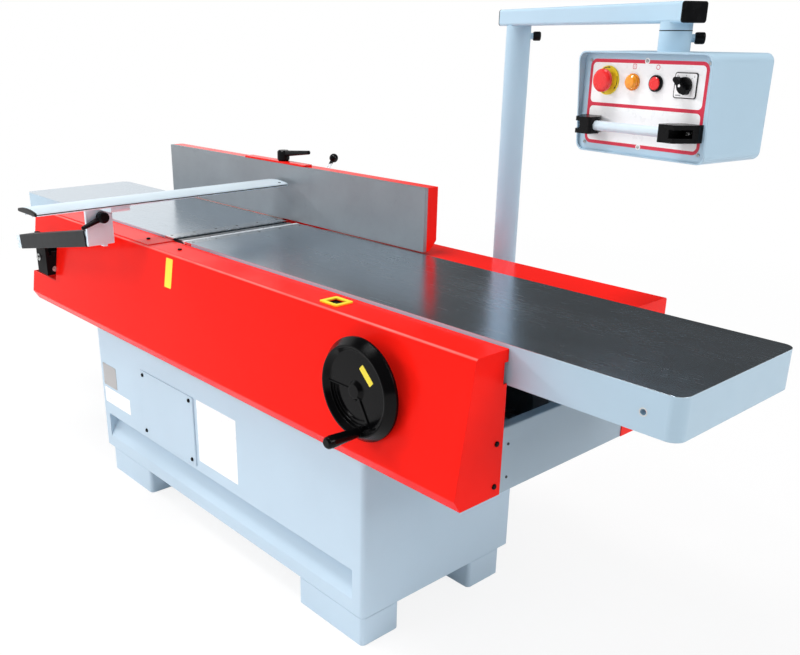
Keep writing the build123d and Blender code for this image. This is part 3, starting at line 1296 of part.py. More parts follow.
def tube_with_boss(x, y, z0, z1, screw_z):
    """A round tube with a bored boss for its thumb screw."""
    place = thumb_frame(x, y, screw_z)
    body = rod_z(z0, z1, x, y, COLUMN_R)
    body += place * rod_z(0, COLUMN_R + THUMB_BOSS_L, 0, 0, THUMB_BOSS_R)
    body -= rod_z(z0 - 1, z1 + 1, x, y, COLUMN_R - COLUMN_T)
    return body - place * rod_z(0, COLUMN_R + THUMB_BOSS_L + 1, 0, 0, THUMB_STUD_R + RUN)


def thumb_screw(x, y, z):
    """Knurled thumb screw."""
    base = COLUMN_R + THUMB_BOSS_L
    head = fillet(rod_z(base, base + THUMB_L, 0, 0, THUMB_R).edges(), THUMB_R / 3)
    return thumb_frame(x, y, z) * (head + rod_z(COLUMN_R - SLIDE, base + 1, 0, 0, THUMB_STUD_R))


def column():
    """Round tube column behind the machine."""
    return tube_with_boss(COLUMN_X, COLUMN_Y, COLUMN_Z0, COLUMN_Z1, COLUMN_Z1 - THUMB_DROP)


def swing_arm():
    """Rectangular tube arm with a spigot for the column and another for the control box."""
    x0 = -ARM_TAIL
    x1 = ARM_REACH + ARM_NOSE
    z1 = ARM_Z0 + ARM_H
    w = ARM_W / 2
    body = block(x0, x1, -w, w, ARM_Z0, z1)
    body = fillet(body.edges().filter_by(Axis.X), ARM_R)
    body -= block(x0 - 1, x1 + 1, ARM_T - w, w - ARM_T, ARM_Z0 + ARM_T, z1 - ARM_T)
    pin_r = COLUMN_R - COLUMN_T - RUN
    body += rod_z(ARM_Z0 - SPIGOT_PIN_L, ARM_Z0 + ARM_T, 0, 0, pin_r)
    body += rod_z(STUB_Z1, ARM_Z0 + ARM_T, ARM_REACH, 0, COLUMN_R)
    body += rod_z(STUB_Z1 - STUB_PIN_L, STUB_Z1, ARM_REACH, 0, pin_r)
    return Pos(COLUMN_X, COLUMN_Y, 0) * Rot(0, 0, ARM_YAW) * body


def arm_end_caps():
    """Plastic plugs in the two ends of the arm."""
    caps = []
    w = ARM_W / 2
    h = ARM_H / 2
    mid = ARM_Z0 + h
    for x, side in ((-ARM_TAIL, -1), (ARM_REACH + ARM_NOSE, 1)):
        cap = extrude(Plane.YZ.offset(x) * RectangleRounded(ARM_W, ARM_H, ARM_R), ARM_CAP_T, dir=(side, 0, 0))
        plug = Rectangle(2 * (w - ARM_T - SEAT), 2 * (h - ARM_T - SEAT))
        cap = chamfer(cap.edges().group_by(Axis.X)[-1 if side > 0 else 0], ARM_CAP_T / 3)
        cap += extrude(Plane.YZ.offset(x) * plug, ARM_PLUG_L, dir=(-side, 0, 0))
        caps.append(Pos(COLUMN_X, COLUMN_Y, mid) * Rot(0, 0, ARM_YAW) * cap)
    return caps


def box_frame():
    """Place of the control box: its swivel axis, with local -Y to the front."""
    return Pos(STUB_X, STUB_Y, 0) * Rot(0, 0, BOX_YAW)


def box_outline(inset):
    """Side view of the control box, its front leaning back towards the bottom."""
    return shape((BOX_FRONT + inset, BOX_Z1 - inset), (-BOX_FRONT - inset, BOX_Z1 - inset),
                 (-BOX_FRONT - inset, BOX_Z0 + inset), (BOX_FRONT + BOX_BACK + inset, BOX_Z0 + inset))


def control_box():
    """Sheet box with a rimmed front opening and a swivel tube on top."""
    w = BOX_W / 2
    body = prism_x(box_outline(0), -w, w)
    body = fillet(body.edges().filter_by(Axis.Y), BOX_R)
    room = prism_x(box_outline(BOX_T), BOX_T - w, w - BOX_T)
    body -= fillet(room.edges().filter_by(Axis.Y), BOX_R - BOX_T)
    mouth = RectangleRounded(BOX_W - 2 * BOX_RIM, BOX_H - 2 * BOX_RIM, BOX_R - BOX_RIM / 2)
    body -= Pos(0, 0, (BOX_Z0 + BOX_Z1) / 2) * prism_y(mouth, BOX_FRONT - 1,
                                                       BOX_FRONT + PLATE_IN + PLATE_T_BOX)
    tube = tube_with_boss(0, 0, BOX_Z1, STUB_Z1, STUB_Z1 - STUB_THUMB_DROP)
    return box_frame() * (body + tube)


def control_panel():
    """Front plate inside the box's rim, with holes for the controls."""
    w = BOX_W - 2 * BOX_T - 2 * SLIDE
    h = BOX_H - 2 * BOX_T - 2 * SLIDE
    face = RectangleRounded(w, h, BOX_R - BOX_T)
    body = Pos(0, 0, (BOX_Z0 + BOX_Z1) / 2) * prism_y(face, PLATE_V, PLATE_V + PLATE_T_BOX)
    for x, drop, r in ((ESTOP_X, ESTOP_DROP, ESTOP_STEM_R), (STOP_X, STOP_DROP, STOP_R),
                       (ROTARY_X, ROTARY_DROP, ROTARY_SHAFT_R)):
        body -= rod_y(PLATE_V - 1, PLATE_V + PLATE_T_BOX + 1, x, BOX_Z1 - drop, r + RUN)
    return box_frame() * body


def estop_base():
    """Round backing disc of the emergency stop."""
    body = rod_y(PLATE_V - ESTOP_BASE_T, PLATE_V, ESTOP_X, BOX_Z1 - ESTOP_DROP, ESTOP_BASE_R)
    hole = rod_y(PLATE_V - ESTOP_BASE_T - 1, PLATE_V + 1, ESTOP_X, BOX_Z1 - ESTOP_DROP, ESTOP_STEM_R + RUN)
    return box_frame() * (body - hole)


def estop_button():
    """Mushroom head of the emergency stop on its stem."""
    back = PLATE_V - ESTOP_BASE_T - ESTOP_GAP
    front = back - ESTOP_HEAD_L
    inner = PLATE_V + PLATE_T_BOX + STEM_IN
    half = shape((0, inner), (ESTOP_STEM_R, inner), (ESTOP_STEM_R, back), (ESTOP_R - 3, back),
                 (ESTOP_R, back - 3),
                 (ESTOP_R, front + 4), (ESTOP_R - 2, front + 1.5), (ESTOP_R - 6, front), (0, front))
    return box_frame() * (Pos(ESTOP_X, 0, BOX_Z1 - ESTOP_DROP) * revolve(half, Axis.Y))


def pilot_lamp():
    """Domed pilot lamp in a round bezel."""
    base = PLATE_V - LAMP_BASE_T
    body = rod_y(base, PLATE_V, 0, 0, LAMP_R)
    r = LAMP_R - 2
    half = shape((0, base), (r, base), (r, base - LAMP_DOME / 2), (r * 0.75, base - LAMP_DOME * 0.85),
                 (0, base - LAMP_DOME))
    return box_frame() * (Pos(LAMP_X, 0, BOX_Z1 - LAMP_DROP) * (body + revolve(half, Axis.Y)))


def stop_bezel():
    """Ring round the stop button."""
    z = BOX_Z1 - STOP_DROP
    body = rod_y(PLATE_V - STOP_BEZEL_T, PLATE_V, STOP_X, z, STOP_BEZEL_R)
    body = chamfer(body.edges().group_by(Axis.Y)[0], STOP_BEZEL_T / 4)
    return box_frame() * (body - rod_y(PLATE_V - STOP_BEZEL_T - 1, PLATE_V + 1, STOP_X, z, STOP_R + RUN))


def stop_button():
    """Flat stop button standing a little out of its ring."""
    front = PLATE_V - STOP_BEZEL_T - STOP_PROUD
    body = rod_y(front, PLATE_V + PLATE_T_BOX + STEM_IN, STOP_X, BOX_Z1 - STOP_DROP, STOP_R)
    return box_frame() * chamfer(body.edges().group_by(Axis.Y)[0], STOP_PROUD / 2)


def rotary_plate():
    """Square plate behind the rotary switch."""
    face = Pos(ROTARY_X, BOX_Z1 - ROTARY_DROP) * RectangleRounded(ROTARY_W, ROTARY_H, ROTARY_CORNER)
    body = prism_y(face, PLATE_V - ROTARY_T, PLATE_V)
    hole = rod_y(PLATE_V - ROTARY_T - 1, PLATE_V + 1, ROTARY_X, BOX_Z1 - ROTARY_DROP, ROTARY_SHAFT_R + RUN)
    return box_frame() * (body - hole)


def rotary_knob():
    """Rotary switch knob with a grip bar across it."""
    base = PLATE_V - ROTARY_T
    hub = base - ROTARY_HUB_L
    body = rod_y(hub, base, 0, 0, ROTARY_R)
    bar = SlotOverall(ROTARY_BAR_L, ROTARY_BAR_W)
    body += Rot(0, ROTARY_TURN, 0) * prism_y(bar, hub - ROTARY_BAR_H, hub)
    body += rod_y(base, PLATE_V + PLATE_T_BOX + STEM_IN, 0, 0, ROTARY_SHAFT_R)
    return box_frame() * (Pos(ROTARY_X, 0, BOX_Z1 - ROTARY_DROP) * body)


def grab_bar():
    """Round grab bar across the front of the control box."""
    x0 = GRAB_X0 + GRAB_FOOT_W - GRAB_SOCKET
    x1 = GRAB_X0 + GRAB_SPAN - GRAB_FOOT_W + GRAB_SOCKET
    return box_frame() * rod_x(x0, x1, PLATE_V - GRAB_OUT, BOX_Z1 - GRAB_DROP, GRAB_R)


def grab_brackets():
    """Moulded end brackets of the grab bar, standing on the panel."""
    brackets = []
    z = BOX_Z1 - GRAB_DROP
    front = PLATE_V - GRAB_OUT - GRAB_R - GRAB_NOSE
    h = GRAB_FOOT_H / 2
    for x0, open_side in ((GRAB_X0, 1), (GRAB_X0 + GRAB_SPAN - GRAB_FOOT_W, -1)):
        x1 = x0 + GRAB_FOOT_W
        inner = x1 if open_side > 0 else x0
        outer = x0 if open_side > 0 else x1
        plan = shape((outer, PLATE_V), (inner - open_side * GRAB_SOCKET, PLATE_V),
                     (inner, PLATE_V - GRAB_OUT + GRAB_R),
                     (inner, front), (inner - open_side * GRAB_SOCKET * 2, front),
                     (outer, PLATE_V - 2 * GRAB_FLOOR))
        plan = fillet(plan.vertices().sort_by(Axis.Y)[:3], GRAB_CORNER)
        body = extrude(Plane.XY.offset(z - h) * plan, 2 * h, dir=(0, 0, 1))
        near = outer + open_side * GRAB_POCKET_IN
        far = near + open_side * GRAB_POCKET_L
        body -= block(min(near, far), max(near, far), front - 1, PLATE_V - GRAB_FLOOR, z - GRAB_POCKET_H / 2,
                      z + GRAB_POCKET_H / 2)
        end = inner - open_side * GRAB_SOCKET
        socket = rod_x(min(end, inner + open_side), max(end, inner + open_side), PLATE_V - GRAB_OUT, z,
                       GRAB_R + SEAT)
        brackets.append(box_frame() * (body - socket))
    return brackets


NODES = {
    "base_cabinet": base_cabinet(),
    "base_feet": base_feet(),
    "access_panel": access_panel(),
    "cover_screws": cover_screws(),
    "upper_frame": upper_frame(),
    "table_pedestals": table_pedestals(),
    "front_cover": front_cover(),
    "outfeed_cover_strip": outfeed_cover_strip(),
    "rear_cover": rear_cover(),
    "outfeed_table": outfeed_table(),
    "outfeed_extension": outfeed_extension(),
    "outfeed_lip": table_lip(SLOT_X0 - LIP_W, SLOT_X0),
    "infeed_table": infeed_table(),
    "infeed_lip": table_lip(SLOT_X0 + SLOT_W, SLOT_X0 + SLOT_W),
    "infeed_rack": infeed_rack(),
    "cutterhead": cutterhead(),
    "cutter_knives": cutter_knives(),
    "knife_wedges": knife_wedges(),
    "bearing_housings": bearing_housings(),
    "cutter_pulley": cutter_pulley(),
    "drive_belts": drive_belts(),
    "motor": motor(),
    "motor_pulley": motor_pulley(),
    "chip_hood": chip_hood(),
    "handwheel": handwheel(),
    "handwheel_shaft": handwheel_shaft(),
    "handwheel_grip": handwheel_grip(),
    "depth_scale": depth_scale(),
    "guard_bracket": guard_bracket(),
    "guard_arm": guard_arm(),
    "guard_arm_cover": guard_arm_cover(),
    "guard_link": guard_link(),
    "guard_holder": guard_holder(),
    "guard_clamp_lever": guard_clamp_lever(),
    "bridge_guard": bridge_guard(),
    "bridge_end_caps": bridge_end_caps(),
    "fence_plate": fence_plate(),
    "fence_box": fence_box(),
    "fence_lugs": fence_lugs(),
    "fence_bar": fence_bar(),
    "fence_support": fence_support(),
    "fence_clamp_lever": fence_clamp_lever(),
    "fence_lock_lever": fence_lock_lever(),
    "column_bracket": column_bracket(),
    "column": column(),
    "column_thumb_screw": thumb_screw(COLUMN_X, COLUMN_Y, COLUMN_Z1 - THUMB_DROP),
    "swing_arm": swing_arm(),
    "arm_end_caps": arm_end_caps(),
    "box_thumb_screw": box_frame() * thumb_screw(0, 0, STUB_Z1 - STUB_THUMB_DROP),
    "control_box": control_box(),
    "control_panel": control_panel(),
    "estop_base": estop_base(),
    "estop_button": estop_button(),
    "pilot_lamp": pilot_lamp(),
    "stop_bezel": stop_bezel(),
    "stop_button": stop_button(),
    "rotary_plate": rotary_plate(),
    "rotary_knob": rotary_knob(),
    "grab_bar": grab_bar(),
    "grab_brackets": grab_brackets(),
}

os.makedirs("parts", exist_ok=True)
HOME = Pos(-ORIGIN_X, -ORIGIN_Y, 0)
for name, piece in NODES.items():
    if isinstance(piece, list):
        piece = Compound(children=[HOME * p for p in piece])
    else:
        piece = HOME * piece
    export_step(piece, os.path.join("parts", name + ".step"))
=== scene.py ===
import json
import math
import bmesh
import bpy
from mathutils import Matrix, Vector


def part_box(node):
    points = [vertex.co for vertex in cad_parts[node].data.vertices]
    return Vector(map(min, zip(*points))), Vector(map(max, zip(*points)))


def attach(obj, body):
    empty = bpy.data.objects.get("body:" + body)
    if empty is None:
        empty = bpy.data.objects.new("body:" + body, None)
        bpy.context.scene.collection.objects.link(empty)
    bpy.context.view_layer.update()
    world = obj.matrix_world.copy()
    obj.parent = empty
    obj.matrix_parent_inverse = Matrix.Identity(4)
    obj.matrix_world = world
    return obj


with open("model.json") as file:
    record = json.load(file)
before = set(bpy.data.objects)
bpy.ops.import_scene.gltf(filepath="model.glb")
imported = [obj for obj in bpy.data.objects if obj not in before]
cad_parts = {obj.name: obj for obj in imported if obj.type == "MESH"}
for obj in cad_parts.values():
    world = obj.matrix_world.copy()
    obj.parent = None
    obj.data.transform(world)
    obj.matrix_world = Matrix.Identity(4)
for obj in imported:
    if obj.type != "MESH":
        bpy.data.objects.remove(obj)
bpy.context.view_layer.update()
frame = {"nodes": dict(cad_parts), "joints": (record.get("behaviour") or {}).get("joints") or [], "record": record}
NODES = frame["nodes"]
JOINTS = {j["name"]: j for j in frame["joints"]}

# Places are given in millimetres from the table slot, the tables' centre line and the floor
MM = 0.001
INFEED_END = 1663.0
BAR_REAR = 712.0
SHIFT_X = INFEED_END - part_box("infeed_table")[1].x / MM
SHIFT_Y = BAR_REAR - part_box("fence_bar")[1].y / MM
TABLE_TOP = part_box("infeed_table")[1].z

# Camera, fitted to the photograph
CAMERA_AT = (2343.4, -1544.4, 1419.02)
CAMERA_AZIMUTH = 48.767
CAMERA_ELEVATION = 20.587
CAMERA_ROLL = 0.329
CAMERA_LENS = 40.12
CAMERA_SENSOR = 36.0
CAMERA_SHIFT = (0.05515, 0.0552)
CAMERA_FAR = 200.0

# Paint, metal and plastic colours, linear
RED = (0.95, 0.0125, 0.007)
WORN_RED = (0.90, 0.05, 0.04)
# Pale red painted along the front cover's ridge as a highlight
RIDGE_HIGHLIGHT_RED = (0.95, 0.20, 0.18)
GREY = (0.50, 0.63, 0.74)
# A darker copy of the cabinet grey for the tables' painted aprons, which carry the same paint: painted shade
SHADED_APRON_GREY = (0.41, 0.555, 0.665)
# A darker, bluer copy of the cabinet grey for the column, swing arm and control box, which carry the same paint:
# painted shade
SHADED_PENDANT_GREY = (0.44, 0.60, 0.72)
IRON = (0.66, 0.75, 0.83)
FENCE_STEEL = (0.300, 0.330, 0.358)
STEEL = (0.52, 0.53, 0.54)
TOOL_STEEL = (0.76, 0.81, 0.85)
BRIGHT_STEEL = (0.86, 0.90, 0.93)
ALUMINIUM = (0.74, 0.86, 0.94)
ANTHRACITE = (0.027, 0.028, 0.030)
WORN_ANTHRACITE = (0.09, 0.094, 0.10)
BLACK = (0.0055, 0.0055, 0.0062)
WORN_BLACK = (0.08, 0.08, 0.08)
ZINC = (0.62, 0.63, 0.62)
MOTOR_BLUE = (0.075, 0.115, 0.16)
RUBBER = (0.016, 0.016, 0.017)
GALVANISED = (0.50, 0.52, 0.53)
WHITE = (0.94, 0.935, 0.94)
YELLOW = (0.90, 0.72, 0.03)
SIGNAL_RED = (0.80, 0.018, 0.020)
CRIMSON = (0.66, 0.022, 0.060)
ORANGE = (0.92, 0.32, 0.010)
CAST_GREY = (0.20, 0.21, 0.22)
INK_GREY = (0.30, 0.30, 0.32)
INK_BLACK = (0.012, 0.012, 0.013)
PLATE_GREY = (0.55, 0.54, 0.54)
SCREW_BLACK = (0.10, 0.10, 0.105)
FLOOR_PALE = (0.93, 0.93, 0.935)
SKY_WHITE = (0.97, 0.985, 1.0)


def spot(x, y, z):
    """A place in millimetres, given in the frame's metres."""
    return Vector(((x - SHIFT_X) * MM, (y - SHIFT_Y) * MM, z * MM))


def tint(colour, factor):
    """A colour made lighter or darker."""
    return tuple(min(1.0, c * factor) for c in colour)


# Node helpers for materials

BEVEL_SAMPLES = 6
CORNER_SAMPLES = 4
# Distance from a ridge, in metres, where its painted highlight line is full and where it ends
RIDGE_HIGHLIGHT_REACH = (0.0024, 0.0050)


def new_material(name):
    """A material with one Principled shader: the material, its tree and the shader."""
    mat = bpy.data.materials.new(name)
    mat.use_nodes = True
    tree = mat.node_tree
    tree.nodes.clear()
    out = tree.nodes.new("ShaderNodeOutputMaterial")
    shader = tree.nodes.new("ShaderNodeBsdfPrincipled")
    tree.links.new(shader.outputs["BSDF"], out.inputs["Surface"])
    return mat, tree, shader


def feed(tree, socket, value):
    """Sets a socket to a value, or links another node's output to it."""
    if isinstance(value, bpy.types.NodeSocket):
        tree.links.new(value, socket)
    else:
        socket.default_value = value


def coords(tree, scale=(1, 1, 1)):
    """The object's own coordinates in metres, stretched."""
    source = tree.nodes.new("ShaderNodeTexCoord").outputs["Object"]
    if scale == (1, 1, 1):
        return source
    mapping = tree.nodes.new("ShaderNodeMapping")
    mapping.inputs["Scale"].default_value = scale
    tree.links.new(source, mapping.inputs["Vector"])
    return mapping.outputs["Vector"]


def along(tree, axis):
    """The object's own coordinate along one axis, in metres."""
    split = tree.nodes.new("ShaderNodeSeparateXYZ")
    tree.links.new(coords(tree), split.inputs[0])
    return split.outputs[axis]


def noise(tree, scale, detail=3.0, rough=0.5, stretch=(1, 1, 1)):
    """A noise texture between 0 and 1."""
    node = tree.nodes.new("ShaderNodeTexNoise")
    node.inputs["Scale"].default_value = scale
    node.inputs["Detail"].default_value = detail
    node.inputs["Roughness"].default_value = rough
    tree.links.new(coords(tree, stretch), node.inputs["Vector"])
    return node.outputs["Fac"]


def span(tree, value, low, high, start=0.3, end=0.7):
    """Maps a value from one range to another."""
    node = tree.nodes.new("ShaderNodeMapRange")
    feed(tree, node.inputs["Value"], value)
    node.inputs["From Min"].default_value = start
    node.inputs["From Max"].default_value = end
    node.inputs["To Min"].default_value = low
    node.inputs["To Max"].default_value = high
    return node.outputs["Result"]


def blend(tree, factor, first, second):
    """Mixes two colours."""
    node = tree.nodes.new("ShaderNodeMix")
    node.data_type = "RGBA"
    feed(tree, node.inputs["Factor"], factor)
    for socket, colour in ((node.inputs[6], first), (node.inputs[7], second)):
        feed(tree, socket, colour if isinstance(colour, bpy.types.NodeSocket) else (*colour, 1))
    return node.outputs[2]


def shades(tree, factor, colour, low, high):
    """A colour that runs between a darker and a lighter shade of itself."""
    return blend(tree, factor, tint(colour, low), tint(colour, high))


def maths(tree, kind, first, second):
    """One arithmetic step on two values."""
    node = tree.nodes.new("ShaderNodeMath")
    node.operation = kind
    feed(tree, node.inputs[0], first)
    feed(tree, node.inputs[1], second)
    return node.outputs["Value"]


def bumped(tree, height, strength, distance, normal=None):
    """A normal disturbed by a height."""
    node = tree.nodes.new("ShaderNodeBump")
    node.inputs["Strength"].default_value = strength
    node.inputs["Distance"].default_value = distance
    tree.links.new(height, node.inputs["Height"])
    if normal:
        tree.links.new(normal, node.inputs["Normal"])
    return node.outputs["Normal"]


def rounded(tree, radius):
    """A normal that rounds the sharp edges."""
    node = tree.nodes.new("ShaderNodeBevel")
    node.samples = BEVEL_SAMPLES
    node.inputs["Radius"].default_value = radius
    return node.outputs["Normal"]


def mottle(tree, shader, patches, colour, low, high):
    """A base colour that wanders between two shades."""
    feed(tree, shader.inputs["Base Color"], shades(tree, span(tree, patches, 0.0, 1.0), colour, low, high))


def relief(tree, shader, height, strength, distance, edge):
    """A fine surface relief, with the sharp edges rounded."""
    feed(tree, shader.inputs["Normal"], bumped(tree, height, strength, distance, rounded(tree, edge)))


def edge_mask(tree, radius):
    """How near a point is to a sharp edge, 0 to 1."""
    soft = rounded(tree, radius)
    sharp = tree.nodes.new("ShaderNodeNewGeometry").outputs["Normal"]
    dot = tree.nodes.new("ShaderNodeVectorMath")
    dot.operation = "DOT_PRODUCT"
    tree.links.new(soft, dot.inputs[0])
    tree.links.new(sharp, dot.inputs[1])
    return span(tree, dot.outputs["Value"], 1.0, 0.0, 0.80, 0.99)


def corner_mask(tree, reach):
    """How open a point is: 1 in the open, towards 0 in a narrow gap or corner."""
    node = tree.nodes.new("ShaderNodeAmbientOcclusion")
    node.samples = CORNER_SAMPLES
    node.inputs["Distance"].default_value = reach
    return node.outputs["AO"]


def ridge_mask(tree, y, z):
    """How near a point is to a folded edge that runs along X, 0 to 1."""
    squares = []
    for axis, at in (("Y", y), ("Z", z)):
        off = maths(tree, "SUBTRACT", along(tree, axis), at)
        squares.append(maths(tree, "MULTIPLY", off, off))
    away = maths(tree, "SQRT", maths(tree, "ADD", *squares), 0.0)
    return span(tree, away, 1.0, 0.0, *RIDGE_HIGHLIGHT_REACH)


# Materials, with lengths in metres

# Radii of the rounded edges: paint and castings, then bare metal and glass
SOFT_EDGE = 0.0012
CRISP_EDGE = 0.0008
PEEL_SCALE = 620.0
# Reach in metres of the painted shade that darkens paint in narrow gaps
GAP_SHADE_REACH = 0.03
# Depth below the table's top where the ground iron gives way to paint
PAINT_LINE = (0.0012, 0.0008)
ZONE_BLEND = 0.0005


def powder_coat(name, colour, rough, worn=None, gloss=0.35, gap_shade=None, ridge=None):
    """Powder-coated steel: orange peel, slow shade changes, rubbed edges; painted shade in gaps and a painted
    highlight along a ridge if given.
    """
    mat, tree, shader = new_material(name)
    patches = noise(tree, 2.2, 4.0, 0.55)
    colour_now = shades(tree, span(tree, patches, 0.0, 1.0), colour, 0.965, 1.03)
    # Painted shade: the colour darkens in narrow gaps and corners, where shade falls
    if gap_shade:
        shut = span(tree, corner_mask(tree, GAP_SHADE_REACH), 1.0, 0.0, 0.10, 0.55)
        colour_now = blend(tree, shut, colour_now, tint(colour, gap_shade))
    # Painted highlight: a broken pale line along the ridge
    if ridge:
        broken = span(tree, noise(tree, 9.0, 4.0), 0.55, 1.0)
        line = maths(tree, "MULTIPLY", ridge_mask(tree, *ridge), broken)
        colour_now = blend(tree, line, colour_now, RIDGE_HIGHLIGHT_RED)
    rub = span(tree, noise(tree, 70.0, 4.0, 0.6), 0.0, 0.35, 0.50, 0.75)
    rub = maths(tree, "MULTIPLY", edge_mask(tree, SOFT_EDGE), rub)
    feed(tree, shader.inputs["Base Color"], blend(tree, rub, colour_now, worn or tint(colour, 1.2)))
    marks = noise(tree, 18.0, 3.0)
    feed(tree, shader.inputs["Roughness"], span(tree, marks, rough - 0.03, rough + 0.04))
    relief(tree, shader, noise(tree, PEEL_SCALE, 1.5, 0.4), 0.008, 0.0004, SOFT_EDGE)
    shader.inputs["Specular IOR Level"].default_value = gloss
    return mat


def ground_metal(name, colour, rough, grain, depth=0.10, stain=0.12, metal=1.0):
    """Ground or machined metal: fine parallel marks, faint stains and handling smears."""
    mat, tree, shader = new_material(name)
    lines = noise(tree, 1.0, 4.0, 0.65, grain)
    smears = noise(tree, 5.0, 5.0, 0.6, (1.0, 2.2, 1.0))
    spots = noise(tree, 38.0, 5.0, 0.62)
    tone = shades(tree, span(tree, smears, 0.0, 1.0, 0.32, 0.68), colour, 1 - stain, 1 + stain / 2)
    dark = maths(tree, "MULTIPLY", span(tree, spots, 0.0, 0.55, 0.62, 0.80), span(tree, smears, 1.0, 0.2))
    feed(tree, shader.inputs["Base Color"], blend(tree, dark, tone, tint(colour, 0.62)))
    shader.inputs["Metallic"].default_value = metal
    fine = span(tree, lines, -0.035, 0.045)
    broad = span(tree, smears, rough - 0.03, rough + 0.07)
    feed(tree, shader.inputs["Roughness"], maths(tree, "ADD", fine, broad))
    relief(tree, shader, lines, depth, 0.0002, CRISP_EDGE)
    return mat


def table_casting(name):
    """Planer table: ground iron on top with a few scuffs, painted grey below the top edge."""
    mat, tree, shader = new_material(name)
    top = span(tree, along(tree, "Z"), 0.0, 1.0, *(TABLE_TOP - depth for depth in PAINT_LINE))
    lines = noise(tree, 1.0, 4.0, 0.65, (7, 380, 7))
    smears = noise(tree, 3.2, 6.0, 0.60, (1.0, 1.6, 1.0))
    scuffs = noise(tree, 7.0, 7.0, 0.72, (0.8, 2.2, 1.0))
    iron = shades(tree, span(tree, smears, 0.0, 1.0, 0.30, 0.70), IRON, 0.94, 1.03)
    iron = blend(tree, span(tree, scuffs, 0.0, 0.16, 0.62, 0.80), iron, tint(IRON, 1.3))
    patches = noise(tree, 3.0, 4.0, 0.55)
    # The apron paint is darkened as painted shade
    paint = shades(tree, span(tree, patches, 0.0, 1.0), SHADED_APRON_GREY, 0.96, 1.03)
    feed(tree, shader.inputs["Base Color"], blend(tree, top, paint, iron))
    feed(tree, shader.inputs["Metallic"], top)
    iron_rough = maths(tree, "ADD", span(tree, lines, -0.03, 0.04), span(tree, smears, 0.22, 0.26))
    iron_rough = maths(tree, "ADD", iron_rough, span(tree, scuffs, 0.0, 0.10, 0.60, 0.80))
    paint_rough = span(tree, noise(tree, 20.0, 3.0), 0.30, 0.40)
    part = maths(tree, "MULTIPLY", top, iron_rough)
    rest = maths(tree, "MULTIPLY", maths(tree, "SUBTRACT", 1.0, top), paint_rough)
    feed(tree, shader.inputs["Roughness"], maths(tree, "ADD", part, rest))
    relief(tree, shader, noise(tree, PEEL_SCALE, 1.5, 0.4), 0.02, 0.0003, SOFT_EDGE)
    return mat


def moulded_plastic(name, colour, rough, grain, coat=0.0, gloss=0.4, edge=0.0010):
    """Moulded plastic with a fine sparked grain and slightly shiny edges."""
    mat, tree, shader = new_material(name)
    mottle(tree, shader, noise(tree, 14.0, 4.0, 0.6), colour, 0.90, 1.10)
    feed(tree, shader.inputs["Roughness"], span(tree, noise(tree, 40.0, 4.0), rough - 0.06, rough + 0.08))
    relief(tree, shader, noise(tree, 1500.0, 2.0, 0.5), grain, 0.0002, edge)
    shader.inputs["Coat Weight"].default_value = coat
    shader.inputs["Coat Roughness"].default_value = 0.12
    shader.inputs["Specular IOR Level"].default_value = gloss
    return mat


def cast_iron(name, colour):
    """Rough cast iron with a sandy skin."""
    mat, tree, shader = new_material(name)
    patches = noise(tree, 8.0, 4.0, 0.6)
    mottle(tree, shader, patches, colour, 0.8, 1.15)
    shader.inputs["Metallic"].default_value = 0.6
    feed(tree, shader.inputs["Roughness"], span(tree, patches, 0.45, 0.62))
    relief(tree, shader, noise(tree, 420.0, 4.0, 0.6), 0.25, 0.0006, SOFT_EDGE)
    return mat


def galvanised_sheet(name):
    """Zinc-coated sheet with large crystals."""
    mat, tree, shader = new_material(name)
    cells = tree.nodes.new("ShaderNodeTexVoronoi")
    cells.inputs["Scale"].default_value = 90.0
    tree.links.new(coords(tree), cells.inputs["Vector"])
    shade = tree.nodes.new("ShaderNodeSeparateColor")
    tree.links.new(cells.outputs["Color"], shade.inputs[0])
    feed(tree, shader.inputs["Base Color"], shades(tree, shade.outputs[0], GALVANISED, 0.82, 1.1))
    shader.inputs["Metallic"].default_value = 1.0
    feed(tree, shader.inputs["Roughness"], span(tree, shade.outputs[1], 0.35, 0.52, 0.0, 1.0))
    feed(tree, shader.inputs["Normal"], rounded(tree, 0.001))
    return mat


def lamp_lens(name, colour):
    """Translucent ribbed lens of a pilot lamp."""
    mat, tree, shader = new_material(name)
    patches = noise(tree, 30.0, 3.0)
    mottle(tree, shader, patches, colour, 0.92, 1.08)
    feed(tree, shader.inputs["Roughness"], span(tree, patches, 0.12, 0.22))
    shader.inputs["Subsurface Weight"].default_value = 0.25
    shader.inputs["Subsurface Radius"].default_value = (0.004, 0.002, 0.0005)
    shader.inputs["Coat Weight"].default_value = 0.5
    relief(tree, shader, noise(tree, 260.0, 2.0), 0.08, 0.0003, CRISP_EDGE)
    return mat


def printed_foil(name, colour, rough=0.34):
    """Printed foil or label: faint mottling and a very fine texture."""
    mat, tree, shader = new_material(name)
    mottle(tree, shader, noise(tree, 9.0, 3.0, 0.5), colour, 0.985, 1.01)
    feed(tree, shader.inputs["Roughness"], span(tree, noise(tree, 70.0, 3.0), rough - 0.05, rough + 0.06))
    feed(tree, shader.inputs["Normal"], bumped(tree, noise(tree, 900.0, 1.5), 0.005, 0.0002))
    return mat


def brushed(name, colour, rough, grain, metal=0.85):
    """Drawn or brushed metal with marks along its length."""
    mat, tree, shader = new_material(name)
    lines = noise(tree, 1.0, 4.0, 0.7, grain)
    patches = noise(tree, 7.0, 4.0, 0.6)
    mottle(tree, shader, patches, colour, 0.93, 1.04)
    shader.inputs["Metallic"].default_value = metal
    fine = span(tree, lines, -0.05, 0.06)
    broad = span(tree, patches, rough - 0.03, rough + 0.05)
    feed(tree, shader.inputs["Roughness"], maths(tree, "ADD", fine, broad))
    relief(tree, shader, lines, 0.08, 0.0002, CRISP_EDGE)
    return mat


